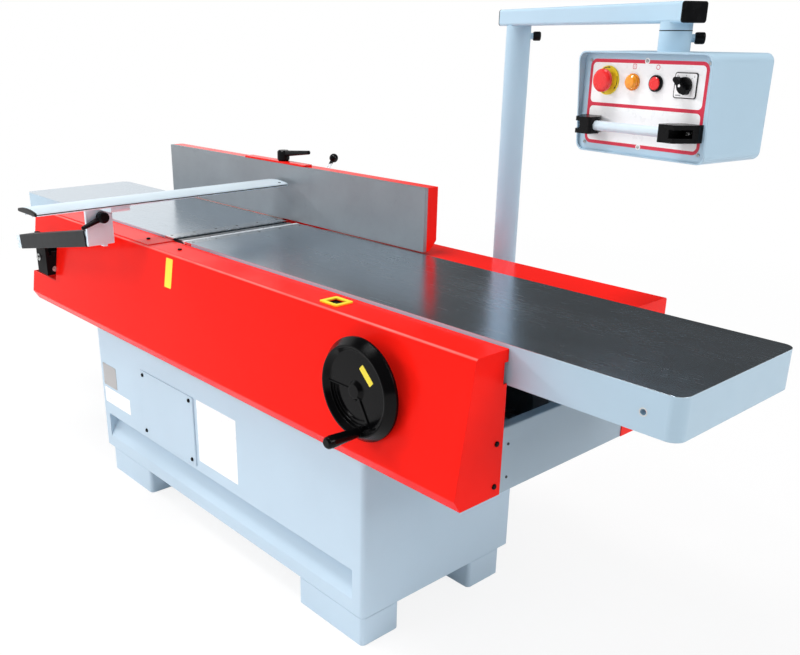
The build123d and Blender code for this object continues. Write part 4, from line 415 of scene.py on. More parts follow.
def two_zone(name, axis, at, *finishes):
    """One piece in two finishes, parted at a place along an axis: colour, metal and roughness of each."""
    mat, tree, shader = new_material(name)
    colours, metals, roughs = zip(*finishes)
    zone = span(tree, along(tree, axis), 0.0, 1.0, at - ZONE_BLEND, at + ZONE_BLEND)
    patches = span(tree, noise(tree, 30.0, 4.0, 0.6), 0.0, 1.0)
    tones = [shades(tree, patches, colour, 0.90, 1.08) for colour in colours]
    feed(tree, shader.inputs["Base Color"], blend(tree, zone, *tones))
    feed(tree, shader.inputs["Metallic"], span(tree, zone, *metals, 0.0, 1.0))
    broad = span(tree, zone, *roughs, 0.0, 1.0)
    fine = span(tree, patches, -0.03, 0.04, 0.0, 1.0)
    feed(tree, shader.inputs["Roughness"], maths(tree, "ADD", broad, fine))
    relief(tree, shader, noise(tree, 900.0, 2.0, 0.5), 0.05, 0.0002, 0.0015)
    shader.inputs["Specular IOR Level"].default_value = 0.2
    return mat


# Places where a finish changes: the lip's bright strip, a lever's ball, between the bridge's two end caps,
# and the front cover's ridge, where a painted highlight runs
LIP_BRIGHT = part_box("infeed_lip")[0].x + 0.013
BALL_FOOT = 1.013
BETWEEN_CAPS = 0.0
RIDGE = (-311.0, 842.0)
RIDGE_LINE = ((RIDGE[0] - SHIFT_Y) * MM, RIDGE[1] * MM)
LIP_ZONES = ((BRIGHT_STEEL, 0.35, 0.40), (TOOL_STEEL, 1.0, 0.24))
CAP_ZONES = ((BLACK, 0.0, 0.35), (ALUMINIUM, 0.6, 0.38))
LEVER_ZONES = ((BRIGHT_STEEL, 0.5, 0.25), (BLACK, 0.0, 0.22))
# How close together the surface marks lie, counted along X, Y and Z
ALONG_X = (9, 500, 500)
ALONG_Y = (500, 9, 500)
ALONG_Y_COARSE = (300, 8, 300)
ACROSS_Y = (8, 260, 8)
ACROSS_Z = (5, 5, 300)
ALL_WAYS = (60, 60, 60)
RED_ROUGH = 0.19
GREY_ROUGH = 0.36

MATERIALS = {
    "red_paint": powder_coat("red_paint", RED, RED_ROUGH, WORN_RED, gloss=0.05),
    # Front cover: a painted highlight runs along its ridge
    "front_red": powder_coat("front_red", RED, RED_ROUGH, WORN_RED, gloss=0.05, ridge=RIDGE_LINE),
    # Rear cover and fence box: painted shade darkens the red in narrow gaps, such as under the fence
    "rear_red": powder_coat("rear_red", RED, RED_ROUGH, WORN_RED, gloss=0.10, gap_shade=0.08),
    "grey_paint": powder_coat("grey_paint", GREY, GREY_ROUGH),
    # The bed and its end plates in a darker copy of the cabinet grey: painted shade from the infeed table's
    # overhang
    "shaded_bed_paint": powder_coat("shaded_bed_paint", tint(GREY, 0.68), GREY_ROUGH),
    "table_iron": cast_iron("cast_iron", CAST_GREY),
    "table_edge": table_casting("planer_table"),
    "fence_steel": ground_metal("fence_steel", FENCE_STEEL, 0.36, ACROSS_Z, stain=0.14, metal=0.5),
    "steel": ground_metal("turned_steel", STEEL, 0.28, ALONG_Y_COARSE),
    "tool_steel": ground_metal("tool_steel", TOOL_STEEL, 0.20, ACROSS_Y, depth=0.06, stain=0.06),
    "aluminium": brushed("aluminium", ALUMINIUM, 0.40, ALONG_Y, metal=0.35),
    "anthracite": powder_coat("anthracite", ANTHRACITE, 0.42, WORN_ANTHRACITE, gloss=0.08),
    "black_steel": powder_coat("black_steel", BLACK, 0.45, WORN_BLACK, gloss=0.05),
    "black_plastic": moulded_plastic("black_plastic", tint(BLACK, 0.8), 0.27, 0.04, gloss=0.12, edge=0.0015),
    "wheel_plastic": moulded_plastic("wheel_plastic", tint(BLACK, 0.4), 0.18, 0.02, gloss=0.12, edge=0.0030),
    # Column, swing arm and control box: the cabinet's paint in a shaded copy
    "shaded_pendant_paint": powder_coat("shaded_pendant_paint", SHADED_PENDANT_GREY, GREY_ROUGH),
    "lip_finish": two_zone("lip_finish", "X", LIP_BRIGHT, *LIP_ZONES),
    "cap_finish": two_zone("cap_finish", "Y", BETWEEN_CAPS, *CAP_ZONES),
    "lever_finish": two_zone("lever_finish", "Z", BALL_FOOT, *LEVER_ZONES),
    "zinc": ground_metal("zinc_plate", ZINC, 0.30, ALL_WAYS, depth=0.05, stain=0.10),
    "motor_paint": powder_coat("motor_paint", MOTOR_BLUE, 0.40),
    "belt_rubber": moulded_plastic("belt_rubber", RUBBER, 0.70, 0.25),
    "galvanised": galvanised_sheet("galvanised"),
    "white_panel": printed_foil("white_panel", WHITE),
    "yellow_plastic": moulded_plastic("yellow_plastic", YELLOW, 0.34, 0.05),
    "red_plastic": moulded_plastic("red_plastic", SIGNAL_RED, 0.26, 0.04, coat=0.4),
    "orange_plastic": lamp_lens("orange_lens", ORANGE),
}
CRIMSON_PRINT = printed_foil("crimson_print", CRIMSON, 0.36)
WHITE_LABEL = printed_foil("white_label", WHITE, 0.30)
YELLOW_LABEL = printed_foil("yellow_label", YELLOW, 0.32)
GREY_PRINT = printed_foil("grey_print", INK_GREY, 0.40)
BLACK_PRINT = printed_foil("black_print", INK_BLACK, 0.40)
PLATE_METAL = brushed("plate_metal", PLATE_GREY, 0.40, ALONG_X)
DARK_SCREW = ground_metal("dark_screw", SCREW_BLACK, 0.38, ALL_WAYS, depth=0.05, stain=0.10)

# Finishes that differ from the node's slot
FINISHES = {
    "control_panel": "shaded_pendant_paint", "control_box": "shaded_pendant_paint", "swing_arm": "shaded_pendant_paint",
    "column": "shaded_pendant_paint", "column_bracket": "shaded_pendant_paint",
    "handwheel": "wheel_plastic", "handwheel_grip": "wheel_plastic",
    "front_cover": "front_red", "upper_frame": "shaded_bed_paint", "rear_cover": "rear_red", "fence_box": "rear_red",
    "infeed_lip": "lip_finish", "bridge_end_caps": "cap_finish", "fence_lock_lever": "lever_finish",
}


def dress_nodes():
    """Gives each solid of the frame the material of its slot, or its own finish."""
    slots = {s["node"]: s["material_slot"] for s in frame["record"]["subparts"]}
    slots.update(FINISHES)
    for name, obj in NODES.items():
        obj.data.materials.clear()
        obj.data.materials.append(MATERIALS[slots[name]])


# Mesh helpers, in millimetres

RING_POINTS = 24
# Shares of a screw head's radius and height: the turned outside, then the hexagon socket
ROUND_HEAD = ((1.0, 0.0), (1.0, 0.45), (0.86, 0.85), (0.62, 1.0))
ROUND_SOCKET = ((0.50, 1.0), (0.46, 0.35))
FLUSH_HEAD = ((1.0, 0.0), (1.0, 0.75), (0.94, 1.0))
FLUSH_SOCKET = ((0.52, 1.0), (0.48, 0.25))
FLUSH_UP = 0.16
WASHER_T = 2.0
WASHER_EDGE = 1.6


def mesh_object(name, bm, mat):
    """An object made of a mesh, in one material."""
    mesh = bpy.data.meshes.new(name)
    bm.to_mesh(mesh)
    bm.free()
    obj = bpy.data.objects.new(name, mesh)
    bpy.context.scene.collection.objects.link(obj)
    mesh.materials.append(mat)
    return obj


def add_piece(name, bm, mat, body):
    """Makes an object of a mesh and lets it ride on a body."""
    bmesh.ops.recalc_face_normals(bm, faces=bm.faces)
    obj = mesh_object(name, bm, mat)
    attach(obj, body)


def axes(x, y, z, origin):
    """A frame of three directions and an origin."""
    return Matrix(((x.x, y.x, z.x, origin.x), (x.y, y.y, z.y, origin.y),
                   (x.z, y.z, z.z, origin.z), (0, 0, 0, 1)))


def facing(origin, normal, across=None):
    """A frame whose Z is the normal and whose X is close to the direction across."""
    z = Vector(normal).normalized()
    if across is None:
        across = (1, 0, 0) if abs(z.x) < 0.9 else (0, 1, 0)
    x = Vector(across)
    x = (x - z * x.dot(z)).normalized()
    return axes(x, z.cross(x), z, origin)


def polar(radius, angle):
    """A flat point at an angle in radians."""
    return radius * math.cos(angle), radius * math.sin(angle)


def flat_circle(radius, count=28):
    """Points of a flat circle."""
    return [polar(radius, 2 * math.pi * i / count) for i in range(count)]


def circle(radius, z, count=RING_POINTS):
    """Points of a level circle."""
    return [(x, y, z) for x, y in flat_circle(radius, count)]


def hexagon(radius, z):
    """Points of a level hexagon, as many as a circle has."""
    points = []
    for i in range(RING_POINTS):
        a = 2 * math.pi * i / RING_POINTS
        r = radius * math.cos(math.pi / 6) / math.cos((a % (math.pi / 3)) - math.pi / 6)
        points.append((*polar(r, a), z))
    return points


def rounded_rect(width, height, radius, steps=6):
    """Corner points of a rounded rectangle about the origin."""
    points = []
    for cx, cy, start in ((1, 1, 0), (-1, 1, 90), (-1, -1, 180), (1, -1, 270)):
        for i in range(steps + 1):
            x, y = polar(radius, math.radians(start + 90 * i / steps))
            points.append((cx * (width / 2 - radius) + x, cy * (height / 2 - radius) + y))
    return points


def moved(points, x, y):
    """Points of an outline shifted in its plane."""
    return [(px + x, py + y) for px, py in points]


def bar(x0, y0, x1, y1, width):
    """Outline of a straight bar between two points."""
    way = Vector((x1 - x0, y1 - y0)).normalized()
    side = Vector((-way.y, way.x)) * width / 2
    return [(x0 + side.x, y0 + side.y), (x0 - side.x, y0 - side.y),
            (x1 - side.x, y1 - side.y), (x1 + side.x, y1 + side.y)]


def arc_band(radius, width, start, end, steps=8):
    """Outline of a flat arc."""
    angles = [math.radians(start + (end - start) * i / steps) for i in range(steps + 1)]
    outer = [polar(radius + width / 2, a) for a in angles]
    inner = [polar(radius - width / 2, a) for a in angles]
    return outer + inner[::-1]


def add_plate(bm, place, outline, thick, holes=()):
    """A flat plate with holes, standing on the plane of a frame."""
    edges = []
    for loop in (outline, *holes):
        verts = [bm.verts.new(place @ Vector((x * MM, y * MM, 0))) for x, y in loop]
        edges += [bm.edges.new((verts[i - 1], verts[i])) for i in range(len(verts))]
    filled = bmesh.ops.triangle_fill(bm, use_beauty=True, use_dissolve=False, edges=edges)
    faces = [g for g in filled["geom"] if isinstance(g, bmesh.types.BMFace)]
    raised = bmesh.ops.extrude_face_region(bm, geom=faces)
    up = place.to_3x3() @ Vector((0, 0, thick * MM))
    bmesh.ops.translate(bm, vec=up, verts=[g for g in raised["geom"] if isinstance(g, bmesh.types.BMVert)])


def add_rings(bm, place, rings):
    """A closed body through rings of points, capped at both ends."""
    last = None
    for ring in rings:
        verts = [bm.verts.new(place @ (Vector(p) * MM)) for p in ring]
        if last:
            n = len(verts)
            for i in range(n):
                bm.faces.new((last[i], last[(i + 1) % n], verts[(i + 1) % n], verts[i]))
        else:
            bm.faces.new(list(reversed(verts)))
        last = verts
    bm.faces.new(last)


def add_profile(bm, place, profile, length):
    """A straight bar of one cross-section, from the frame's origin along its Z."""
    add_rings(bm, place, [[(x, y, z) for x, y in profile] for z in (0, length)])


def add_head(bm, place, radius, height, head, socket):
    """A turned screw head with a hexagon socket."""
    rings = [circle(radius * r, height * h) for r, h in head]
    rings += [hexagon(radius * r, height * h) for r, h in socket]
    add_rings(bm, place, rings)


def add_socket_screw(bm, place, radius, height):
    """A rounded screw head with a hexagon socket."""
    add_head(bm, place, radius, height, ROUND_HEAD, ROUND_SOCKET)


def add_countersunk(bm, place, radius):
    """A nearly flush countersunk screw with a hexagon socket."""
    add_head(bm, place, radius, FLUSH_UP, FLUSH_HEAD, FLUSH_SOCKET)


def add_hex_bolt(bm, place, across, height):
    """A hexagon bolt head with a chamfered top, on a washer."""
    corner = across / math.sqrt(3)
    shoulder = WASHER_T + height * 0.8
    top = WASHER_T + height
    washer = [circle(across * 0.95, 0), circle(across * 0.95, WASHER_EDGE), circle(across * 0.90, WASHER_T)]
    head = [hexagon(corner, WASHER_T), hexagon(corner, shoulder), circle(across * 0.46, top)]
    add_rings(bm, place, washer + head)


# Tables and bed

LIP_SCREW_Y = (-197.0, -118.0, -39.5, 39.5, 118.0, 197.0)
LIP_SCREW_IN = 13.0
LIP_SCREW_R = 4.2


def lip_screws():
    """Rows of countersunk screws that hold the two table lips."""
    for name, node, body, first in (("outfeed_lip_screws", "outfeed_lip", "machine", True),
                                    ("infeed_lip_screws", "infeed_lip", "infeed", False)):
        low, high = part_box(node)
        x = low.x + LIP_SCREW_IN * MM if first else high.x - LIP_SCREW_IN * MM
        bm = bmesh.new()
        for y in LIP_SCREW_Y:
            place = facing(Vector((x, (y - SHIFT_Y) * MM, high.z)), (0, 0, 1))
            add_countersunk(bm, place, LIP_SCREW_R)
        add_piece(name, bm, DARK_SCREW, body)


HANGER_HOLE = (1591.0, -213.0, 804.0)
HANGER_HOLE_R = 6.0
HANGER_RIM_R = 8.6
HANGER_RIM_T = 0.15


def hanger_rim():
    """Bare rim of the hole in the infeed table's apron, where the paint is cut through."""
    bm = bmesh.new()
    place = facing(spot(*HANGER_HOLE), (0, -1, 0))
    add_plate(bm, place, flat_circle(HANGER_RIM_R), HANGER_RIM_T, [flat_circle(HANGER_HOLE_R)])
    add_piece("hanger_hole_rim", bm, MATERIALS["zinc"], "infeed")


END_SCREWS = ((-194.0, 627.0), (-193.0, 550.0))
END_SCREW_R = 3.2
END_SCREW_H = 2.2
END_PLATE_T = 6.0
END_PLATE_TOP = 665.0
BED_Y = (-215.0, 234.0)
FOLD_IN = 24.0
FOLD_T = 3.0
END_FOLD = [(0, 0), (0, 0.6), (0.5, 1.8), (1.4, 2.6), (2.8, FOLD_T), (FOLD_IN, FOLD_T),
            (FOLD_IN, 0), (END_PLATE_T, 0)]


def end_plates():
    """Small screws on the two end plates of the bed, and the folds along their top edges."""
    low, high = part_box("upper_frame")
    screws = bmesh.new()
    folds = bmesh.new()
    for x, way in ((low.x, -1), (high.x, 1)):
        for y, z in END_SCREWS:
            place = facing(Vector((x, (y - SHIFT_Y) * MM, z * MM)), (way, 0, 0))
            add_socket_screw(screws, place, END_SCREW_R, END_SCREW_H)
        start = Vector((x, (BED_Y[0] - SHIFT_Y) * MM, END_PLATE_TOP * MM))
        turned = [(-way * across, -up) for across, up in END_FOLD]
        add_profile(folds, facing(start, (0, 1, 0), (1, 0, 0)), turned, BED_Y[1] - BED_Y[0])
    add_piece("end_plate_screws", screws, DARK_SCREW, "machine")
    # The folds share the bed's painted shade
    add_piece("end_plate_folds", folds, MATERIALS["shaded_bed_paint"], "machine")


LABEL_T = 0.25
SKIRT = (-356.0, 547.0)
STRIP_MID = (136.0, 787.5)
STRIP_SHAPE = (36.0, 84.0, 3.0)
WHEEL_STRIP = (1034.4, -368.0, 748.1)
WHEEL_STRIP_LEAN = -44.0
WHEEL_STRIP_SHAPE = (47.0, 16.0, 2.0)
WHEEL_STRIP_T = 0.3


def cover_slope(x, z):
    """A frame on the sloping front of the front cover, with Y up the slope."""
    share = (RIDGE[1] - z) / (RIDGE[1] - SKIRT[1])
    y = RIDGE[0] + share * (SKIRT[0] - RIDGE[0])
    normal = (0, SKIRT[1] - RIDGE[1], RIDGE[0] - SKIRT[0])
    return facing(spot(x, y, z), normal, (1, 0, 0))


def yellow_strips():
    """Plain yellow strips on the front cover and on the handwheel's disc."""
    bm = bmesh.new()
    add_plate(bm, cover_slope(*STRIP_MID), rounded_rect(*STRIP_SHAPE), LABEL_T)
    add_piece("cover_strip", bm, YELLOW_LABEL, "machine")
    bm = bmesh.new()
    lean = math.radians(WHEEL_STRIP_LEAN)
    place = facing(spot(*WHEEL_STRIP), (0, -1, 0), (math.cos(lean), 0, math.sin(lean)))
    add_plate(bm, place, rounded_rect(*WHEEL_STRIP_SHAPE), WHEEL_STRIP_T)
    add_piece("wheel_strip", bm, YELLOW_LABEL, "wheel")


RULER_X = (772.0, 852.0)
RULER_Y = (-296.0, -212.0)
RULER_Z = 834.0
RULER_T = 2.0
RULER_R = 3.0
MARK_Y = -262.0
MARK_PITCH = 4.0
MARKS_EACH_WAY = 9
LONG_EVERY = 5
LONG_MARK = 12.0
SHORT_MARK = 7.0
MARK_W = 0.8
MARK_T = 0.15


def depth_ruler():
    """Scale plate of the depth window, carried by the infeed table."""
    mid = sum(RULER_X) / 2
    bm = bmesh.new()
    place = facing(spot(mid, sum(RULER_Y) / 2, RULER_Z), (0, 0, 1))
    add_plate(bm, place, rounded_rect(RULER_X[1] - RULER_X[0], RULER_Y[1] - RULER_Y[0], RULER_R), RULER_T)
    add_piece("depth_ruler", bm, MATERIALS["anthracite"], "infeed")
    bm = bmesh.new()
    place = facing(spot(mid, MARK_Y, RULER_Z + RULER_T), (0, 0, 1))
    for i in range(-MARKS_EACH_WAY, MARKS_EACH_WAY + 1):
        length = SHORT_MARK if i % LONG_EVERY else LONG_MARK
        add_plate(bm, place, bar(i * MARK_PITCH, -length, i * MARK_PITCH, 0, MARK_W), MARK_T)
    add_piece("depth_ruler_marks", bm, WHITE_LABEL, "infeed")


# Base cabinet

CABINET_FRONT = -322.0
TYPE_PLATE = (-349.0, -258.0, 309.0, 386.0)
TYPE_PLATE_T = 0.6
SIDE_LABEL = (-349.0, -174.0, 246.0, 300.0)
BIG_LABEL = (249.0, 451.0, 240.0, 436.0)
RIVET_IN = 5.0
RIVET_RINGS = ((2.2, 0.0), (2.0, 0.6), (1.2, 1.0))
RIVET_POINTS = 12
PANEL_FOLD = [(0, 0), (9, 0), (9, 2.0), (7.6, 3.6), (5.4, 4.4), (3.2, 4.4), (1.2, 3.6), (0, 2.0)]


def front_plate(name, edges, thick, mat, radius):
    """A bare plate or label on the cabinet's front."""
    x0, x1, z0, z1 = edges
    bm = bmesh.new()
    place = facing(spot((x0 + x1) / 2, CABINET_FRONT, (z0 + z1) / 2), (0, -1, 0), (1, 0, 0))
    add_plate(bm, place, rounded_rect(x1 - x0, z1 - z0, radius), thick)
    add_piece(name, bm, mat, "machine")


def cabinet_plates():
    """Bare type plate and labels, and the fold along the access panel's edge."""
    front_plate("type_plate", TYPE_PLATE, TYPE_PLATE_T, PLATE_METAL, radius=3)
    front_plate("side_label", SIDE_LABEL, LABEL_T, WHITE_LABEL, radius=2)
    front_plate("front_label", BIG_LABEL, LABEL_T, WHITE_LABEL, radius=3)
    bm = bmesh.new()
    rings = [circle(radius, up, RIVET_POINTS) for radius, up in RIVET_RINGS]
    for x in (TYPE_PLATE[0] + RIVET_IN, TYPE_PLATE[1] - RIVET_IN):
        for z in (TYPE_PLATE[2] + RIVET_IN, TYPE_PLATE[3] - RIVET_IN):
            add_rings(bm, facing(spot(x, CABINET_FRONT - TYPE_PLATE_T, z), (0, -1, 0)), rings)
    add_piece("type_plate_rivets", bm, MATERIALS["zinc"], "machine")
    low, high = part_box("access_panel")
    bm = bmesh.new()
    place = facing(Vector((high.x, high.y, low.z)), (0, 0, 1), (1, 0, 0))
    add_profile(bm, place, [(x, -out) for x, out in PANEL_FOLD], (high.z - low.z) / MM)
    add_piece("panel_fold", bm, MATERIALS["grey_paint"], "machine")


# Guard, column and fence fasteners

PLATE_BOLT = (-676.0, -368.0, 695.0)
RIB_BOLT = (-617.0, -340.0, 660.0)
COLUMN_BOLT_X = (683.0, 803.0)
COLUMN_BOLT_Y = 374.0
COLUMN_BOLT_Z = (592.0, 726.0)
SUPPORT_BOLT_X = (-156.0, -80.0)
SUPPORT_BOLT_Y = 380.0
SUPPORT_BOLT_Z = 770.0
BOLT_ACROSS = 13.0
RIB_BOLT_ACROSS = 10.4
BOLT_H = 5.5


def bracket_bolts():
    """Hexagon bolts of the guard bracket, the column bracket and the fence support."""
    bm = bmesh.new()
    add_hex_bolt(bm, facing(spot(*PLATE_BOLT), (0, -1, 0)), BOLT_ACROSS, BOLT_H)
    add_hex_bolt(bm, facing(spot(*RIB_BOLT), (1, 0, 0)), RIB_BOLT_ACROSS, BOLT_H)
    add_piece("guard_bracket_bolts", bm, MATERIALS["zinc"], "machine")
    bm = bmesh.new()
    places = [(x, COLUMN_BOLT_Y, z) for x in COLUMN_BOLT_X for z in COLUMN_BOLT_Z]
    places += [(x, SUPPORT_BOLT_Y, SUPPORT_BOLT_Z) for x in SUPPORT_BOLT_X]
    for place in places:
        add_hex_bolt(bm, facing(spot(*place), (0, 1, 0)), BOLT_ACROSS, BOLT_H)
    add_piece("rear_bracket_bolts", bm, MATERIALS["zinc"], "machine")


BRIDGE_Y = (-630.0, 196.0)
# A dark strip along the bridge's lower edge, standing for the shade there
EDGE_START = (15.0, BRIDGE_Y[0], 970.0)
EDGE_PROFILE = [(0, 0.2), (0.5, 0), (0.9, 0.4), (0.9, 2.0), (0.5, 2.6), (0, 2.4)]
BRIDGE_SCREW = (0.0, 178.0, 978.7)
BRIDGE_SCREW_WAY = (0.15, 0, 0.99)
BRIDGE_SCREW_R = 5.0


def bridge_edge():
    """Dark strip that stands for the shade along the lower side of the bridge guard, and the screw of its end cap.
    """
    bm = bmesh.new()
    place = facing(spot(*EDGE_START), (0, 1, 0), (1, 0, 0))
    add_profile(bm, place, [(x, -z) for x, z in EDGE_PROFILE], BRIDGE_Y[1] - BRIDGE_Y[0])
    add_piece("bridge_edge_shade_strip", bm, MATERIALS["belt_rubber"], "bridge")
    bm = bmesh.new()
    add_countersunk(bm, facing(spot(*BRIDGE_SCREW), BRIDGE_SCREW_WAY), BRIDGE_SCREW_R)
    add_piece("bridge_end_screw", bm, DARK_SCREW, "bridge")


# Control box

BOX_YAW = math.radians(-7.8)
BOX_TOP = 1394.0
PANEL_V = -75.0
FRAME_W = 294.0
FRAME_Z = (1207.0, 1379.0)
FRAME_R = 16.0
FRAME_LINE = 7.0
DIVIDER_Z = 1288.0
FOIL_T = 0.15
PRINT_T = 0.1
PANEL_SCREWS = ((-146.0, 1376.0), (146.0, 1376.0), (-146.0, 1208.0), (146.0, 1208.0))
MID_SCREWS = ((0.0, 1377.0), (0.0, 1209.5))
PANEL_SCREW_R = 3.4
PANEL_SCREW_H = 2.0
SCREW_PAD_R = 6.0
ESTOP = (-96.0, BOX_TOP - 57.0)
LAMP = (-30.0, BOX_TOP - 58.0)
STOP = (28.0, BOX_TOP - 58.5)
ROTARY = (98.0, BOX_TOP - 59.5)
# Holes in the foil under the emergency stop, the lamp, the stop button and the rotary switch
ESTOP_SEAT_R = 28.0
LAMP_SEAT_R = 15.5
STOP_SEAT_R = 15.0
ROTARY_SEAT = (50.0, 46.0, 4.0)
# Plain marks above the stop button and the lamp: a ring, and a bar in a frame
SYMBOL_Z = 1366.0
RING_MARK = (4.8, 3.7)
FRAME_MARK = ((9.5, 10.0, 2.0), (7.4, 8.0, 1.2))
BAR_MARK = (0, -2.6, 0, 2.6, 1.0)


def on_panel(u, z, out=0.0):
    """A frame on the control panel's face: X along its width, Y up, Z out of it."""
    centre = Vector(JOINTS["box_swivel"]["pos_m"])
    across = Vector((math.cos(BOX_YAW), math.sin(BOX_YAW), 0))
    inward = Vector((-math.sin(BOX_YAW), math.cos(BOX_YAW), 0))
    at = centre + across * u * MM + inward * (PANEL_V - out) * MM
    at.z = z * MM
    return facing(at, -inward, across)


def panel_foil():
    """White foil on the control panel, with crimson frame lines and plain symbols printed on it."""
    z0, z1 = FRAME_Z
    mid = (z0 + z1) / 2
    outline = rounded_rect(FRAME_W, z1 - z0, FRAME_R)
    seats = []
    for (u, z), seat in ((ESTOP, flat_circle(ESTOP_SEAT_R)), (LAMP, flat_circle(LAMP_SEAT_R)),
                         (STOP, flat_circle(STOP_SEAT_R)), (ROTARY, rounded_rect(*ROTARY_SEAT))):
        seats.append(moved(seat, u, z - mid))
    bm = bmesh.new()
    add_plate(bm, on_panel(0, mid), outline, FOIL_T, seats)
    add_piece("panel_foil", bm, WHITE_LABEL, "pendant")
    wide = FRAME_W - 2 * FRAME_LINE
    upper = (DIVIDER_Z + FRAME_LINE / 2, z1 - FRAME_LINE)
    lower = (z0 + FRAME_LINE, DIVIDER_Z - FRAME_LINE / 2)
    windows = []
    for low, high in (upper, lower):
        windows.append(moved(rounded_rect(wide, high - low, FRAME_R - FRAME_LINE), 0, (low + high) / 2 - mid))
    bm = bmesh.new()
    add_plate(bm, on_panel(0, mid, FOIL_T), outline, PRINT_T, windows)
    ring, hole = (flat_circle(radius) for radius in RING_MARK)
    add_plate(bm, on_panel(STOP[0], SYMBOL_Z, FOIL_T), ring, PRINT_T, [hole])
    lamp_mark = on_panel(LAMP[0], SYMBOL_Z, FOIL_T)
    outer, inner = (rounded_rect(*shape) for shape in FRAME_MARK)
    add_plate(bm, lamp_mark, outer, PRINT_T, [inner])
    add_plate(bm, lamp_mark, bar(*BAR_MARK), PRINT_T)
    add_piece("panel_frame_print", bm, CRIMSON_PRINT, "pendant")


def panel_fasteners():
    """Screws of the control panel, two of them on small white pads."""
    bm = bmesh.new()
    for u, z in PANEL_SCREWS + MID_SCREWS:
        add_socket_screw(bm, on_panel(u, z, FOIL_T + PRINT_T), PANEL_SCREW_R, PANEL_SCREW_H)
    add_piece("panel_screws", bm, MATERIALS["zinc"], "pendant")
    bm = bmesh.new()
    for u, z in MID_SCREWS:
        add_plate(bm, on_panel(u, z, FOIL_T), flat_circle(SCREW_PAD_R), 2 * PRINT_T)
    add_piece("panel_screw_pads", bm, WHITE_LABEL, "pendant")


ESTOP_BASE_T = 3.0
ARROW_R = 26.0
ARROW_STARTS = (-30, 90, 210)
ARROW_SWEEP = 50
ARROW_TIP = 12
ARROW_LINE = 1.6
ARROW_HALF = 2.2


def estop_marks():
    """Three turning arrows printed on the backing disc of the emergency stop."""
    bm = bmesh.new()
    place = on_panel(*ESTOP, ESTOP_BASE_T)
    for start in ARROW_STARTS:
        add_plate(bm, place, arc_band(ARROW_R, ARROW_LINE, start, start + ARROW_SWEEP), PRINT_T)
        tip = math.radians(start - ARROW_TIP)
        root = math.radians(start)
        arrow = [polar(ARROW_R, tip), polar(ARROW_R - ARROW_HALF, root), polar(ARROW_R + ARROW_HALF, root)]
        add_plate(bm, place, arrow, PRINT_T)
    add_piece("estop_marks", bm, BLACK_PRINT, "pendant")


ROTARY_PLATE_T = 2.0
ROTARY_FACE = (48.5, 44.5, 4.0)
ROTARY_FACE_T = 0.3
ROTARY_HOLE_R = 15.3
ROTARY_PIN_OUT = 21.0
# Marks of the dial: ticks about the knob, a small ring, an upright bar and a level one
TICK_ANGLES = (45, 90, 135)
TICK_R = (17.2, 20.0)
TICK_W = 1.0
ZERO_AT = (-19.0, 17.0)
ZERO_RING = (2.2, 1.3)
ONE_BAR = (19, 14.8, 19, 19.2, 1.0)
FOOT_BAR = (-20.5, -18.5, -8.5, -18.5, 2.2)
PIN_RINGS = ((2.6, 0.0), (2.6, 0.3), (2.0, 0.7), (0.8, 0.5))
SMALL_POINTS = 20


def rotary_face():
    """White dial face of the rotary switch with plain marks, and the pin in the knob's bar."""
    bm = bmesh.new()
    place = on_panel(*ROTARY, ROTARY_PLATE_T)
    add_plate(bm, place, rounded_rect(*ROTARY_FACE), ROTARY_FACE_T, [flat_circle(ROTARY_HOLE_R)])
    add_piece("rotary_face", bm, WHITE_LABEL, "pendant")
    bm = bmesh.new()
    place = on_panel(*ROTARY, ROTARY_PLATE_T + ROTARY_FACE_T)
    for angle in TICK_ANGLES:
        inner, outer = (polar(radius, math.radians(angle)) for radius in TICK_R)
        add_plate(bm, place, bar(*inner, *outer, TICK_W), PRINT_T)
    ring, hole = (moved(flat_circle(radius, SMALL_POINTS), *ZERO_AT) for radius in ZERO_RING)
    add_plate(bm, place, ring, PRINT_T, [hole])
    for mark in (ONE_BAR, FOOT_BAR):
        add_plate(bm, place, bar(*mark), PRINT_T)
    add_piece("rotary_marks", bm, GREY_PRINT, "pendant")
    bm = bmesh.new()
    rings = [circle(radius, up, SMALL_POINTS) for radius, up in PIN_RINGS]
    add_rings(bm, on_panel(*ROTARY, ROTARY_PIN_OUT), rings)
    add_piece("rotary_pin", bm, WHITE_LABEL, "rotary")


STUB_SEAM_Z = BOX_TOP + 40.0
STUB_R = 31.75
STUB_WASHER_T = 1.6
STUB_WASHER_OUT = 0.4
STUB_WASHER_IN = 2.0
STUB_POINTS = 48


def stub_seam():
    """Thin plastic washer between the control box's stub and the swing arm."""
    centre = Vector(JOINTS["box_swivel"]["pos_m"])
    place = facing(Vector((centre.x, centre.y, (STUB_SEAM_Z - STUB_WASHER_T / 2) * MM)), (0, 0, 1))
    bm = bmesh.new()
    outer = flat_circle(STUB_R + STUB_WASHER_OUT, STUB_POINTS)
    add_plate(bm, place, outer, STUB_WASHER_T, [flat_circle(STUB_R - STUB_WASHER_IN, STUB_POINTS)])
    add_piece("stub_washer", bm, MATERIALS["black_plastic"], "pendant")


GRAB_Z = BOX_TOP - 146.0
GRAB_SCREW_U = 129.0
GRAB_SCREW_R = 6.0
GRAB_SCREW_H = 13.0
GRAB_FLOOR = 6.0


def grab_screws():
    """Screws in the pockets of the grab bar's two brackets."""
    bm = bmesh.new()
    for u in (-GRAB_SCREW_U, GRAB_SCREW_U):
        add_socket_screw(bm, on_panel(u, GRAB_Z, GRAB_FLOOR), GRAB_SCREW_R, GRAB_SCREW_H)
    add_piece("grab_bracket_screws", bm, MATERIALS["zinc"], "pendant")


# Stage, light and camera, in metres

FLOOR_HALF = 30.0
# Share of plain white in the floor near the machine and far away, and where it changes
FLOOR_WHITE = (0.86, 1.0)
FLOOR_FADE = (1.6, 4.6)


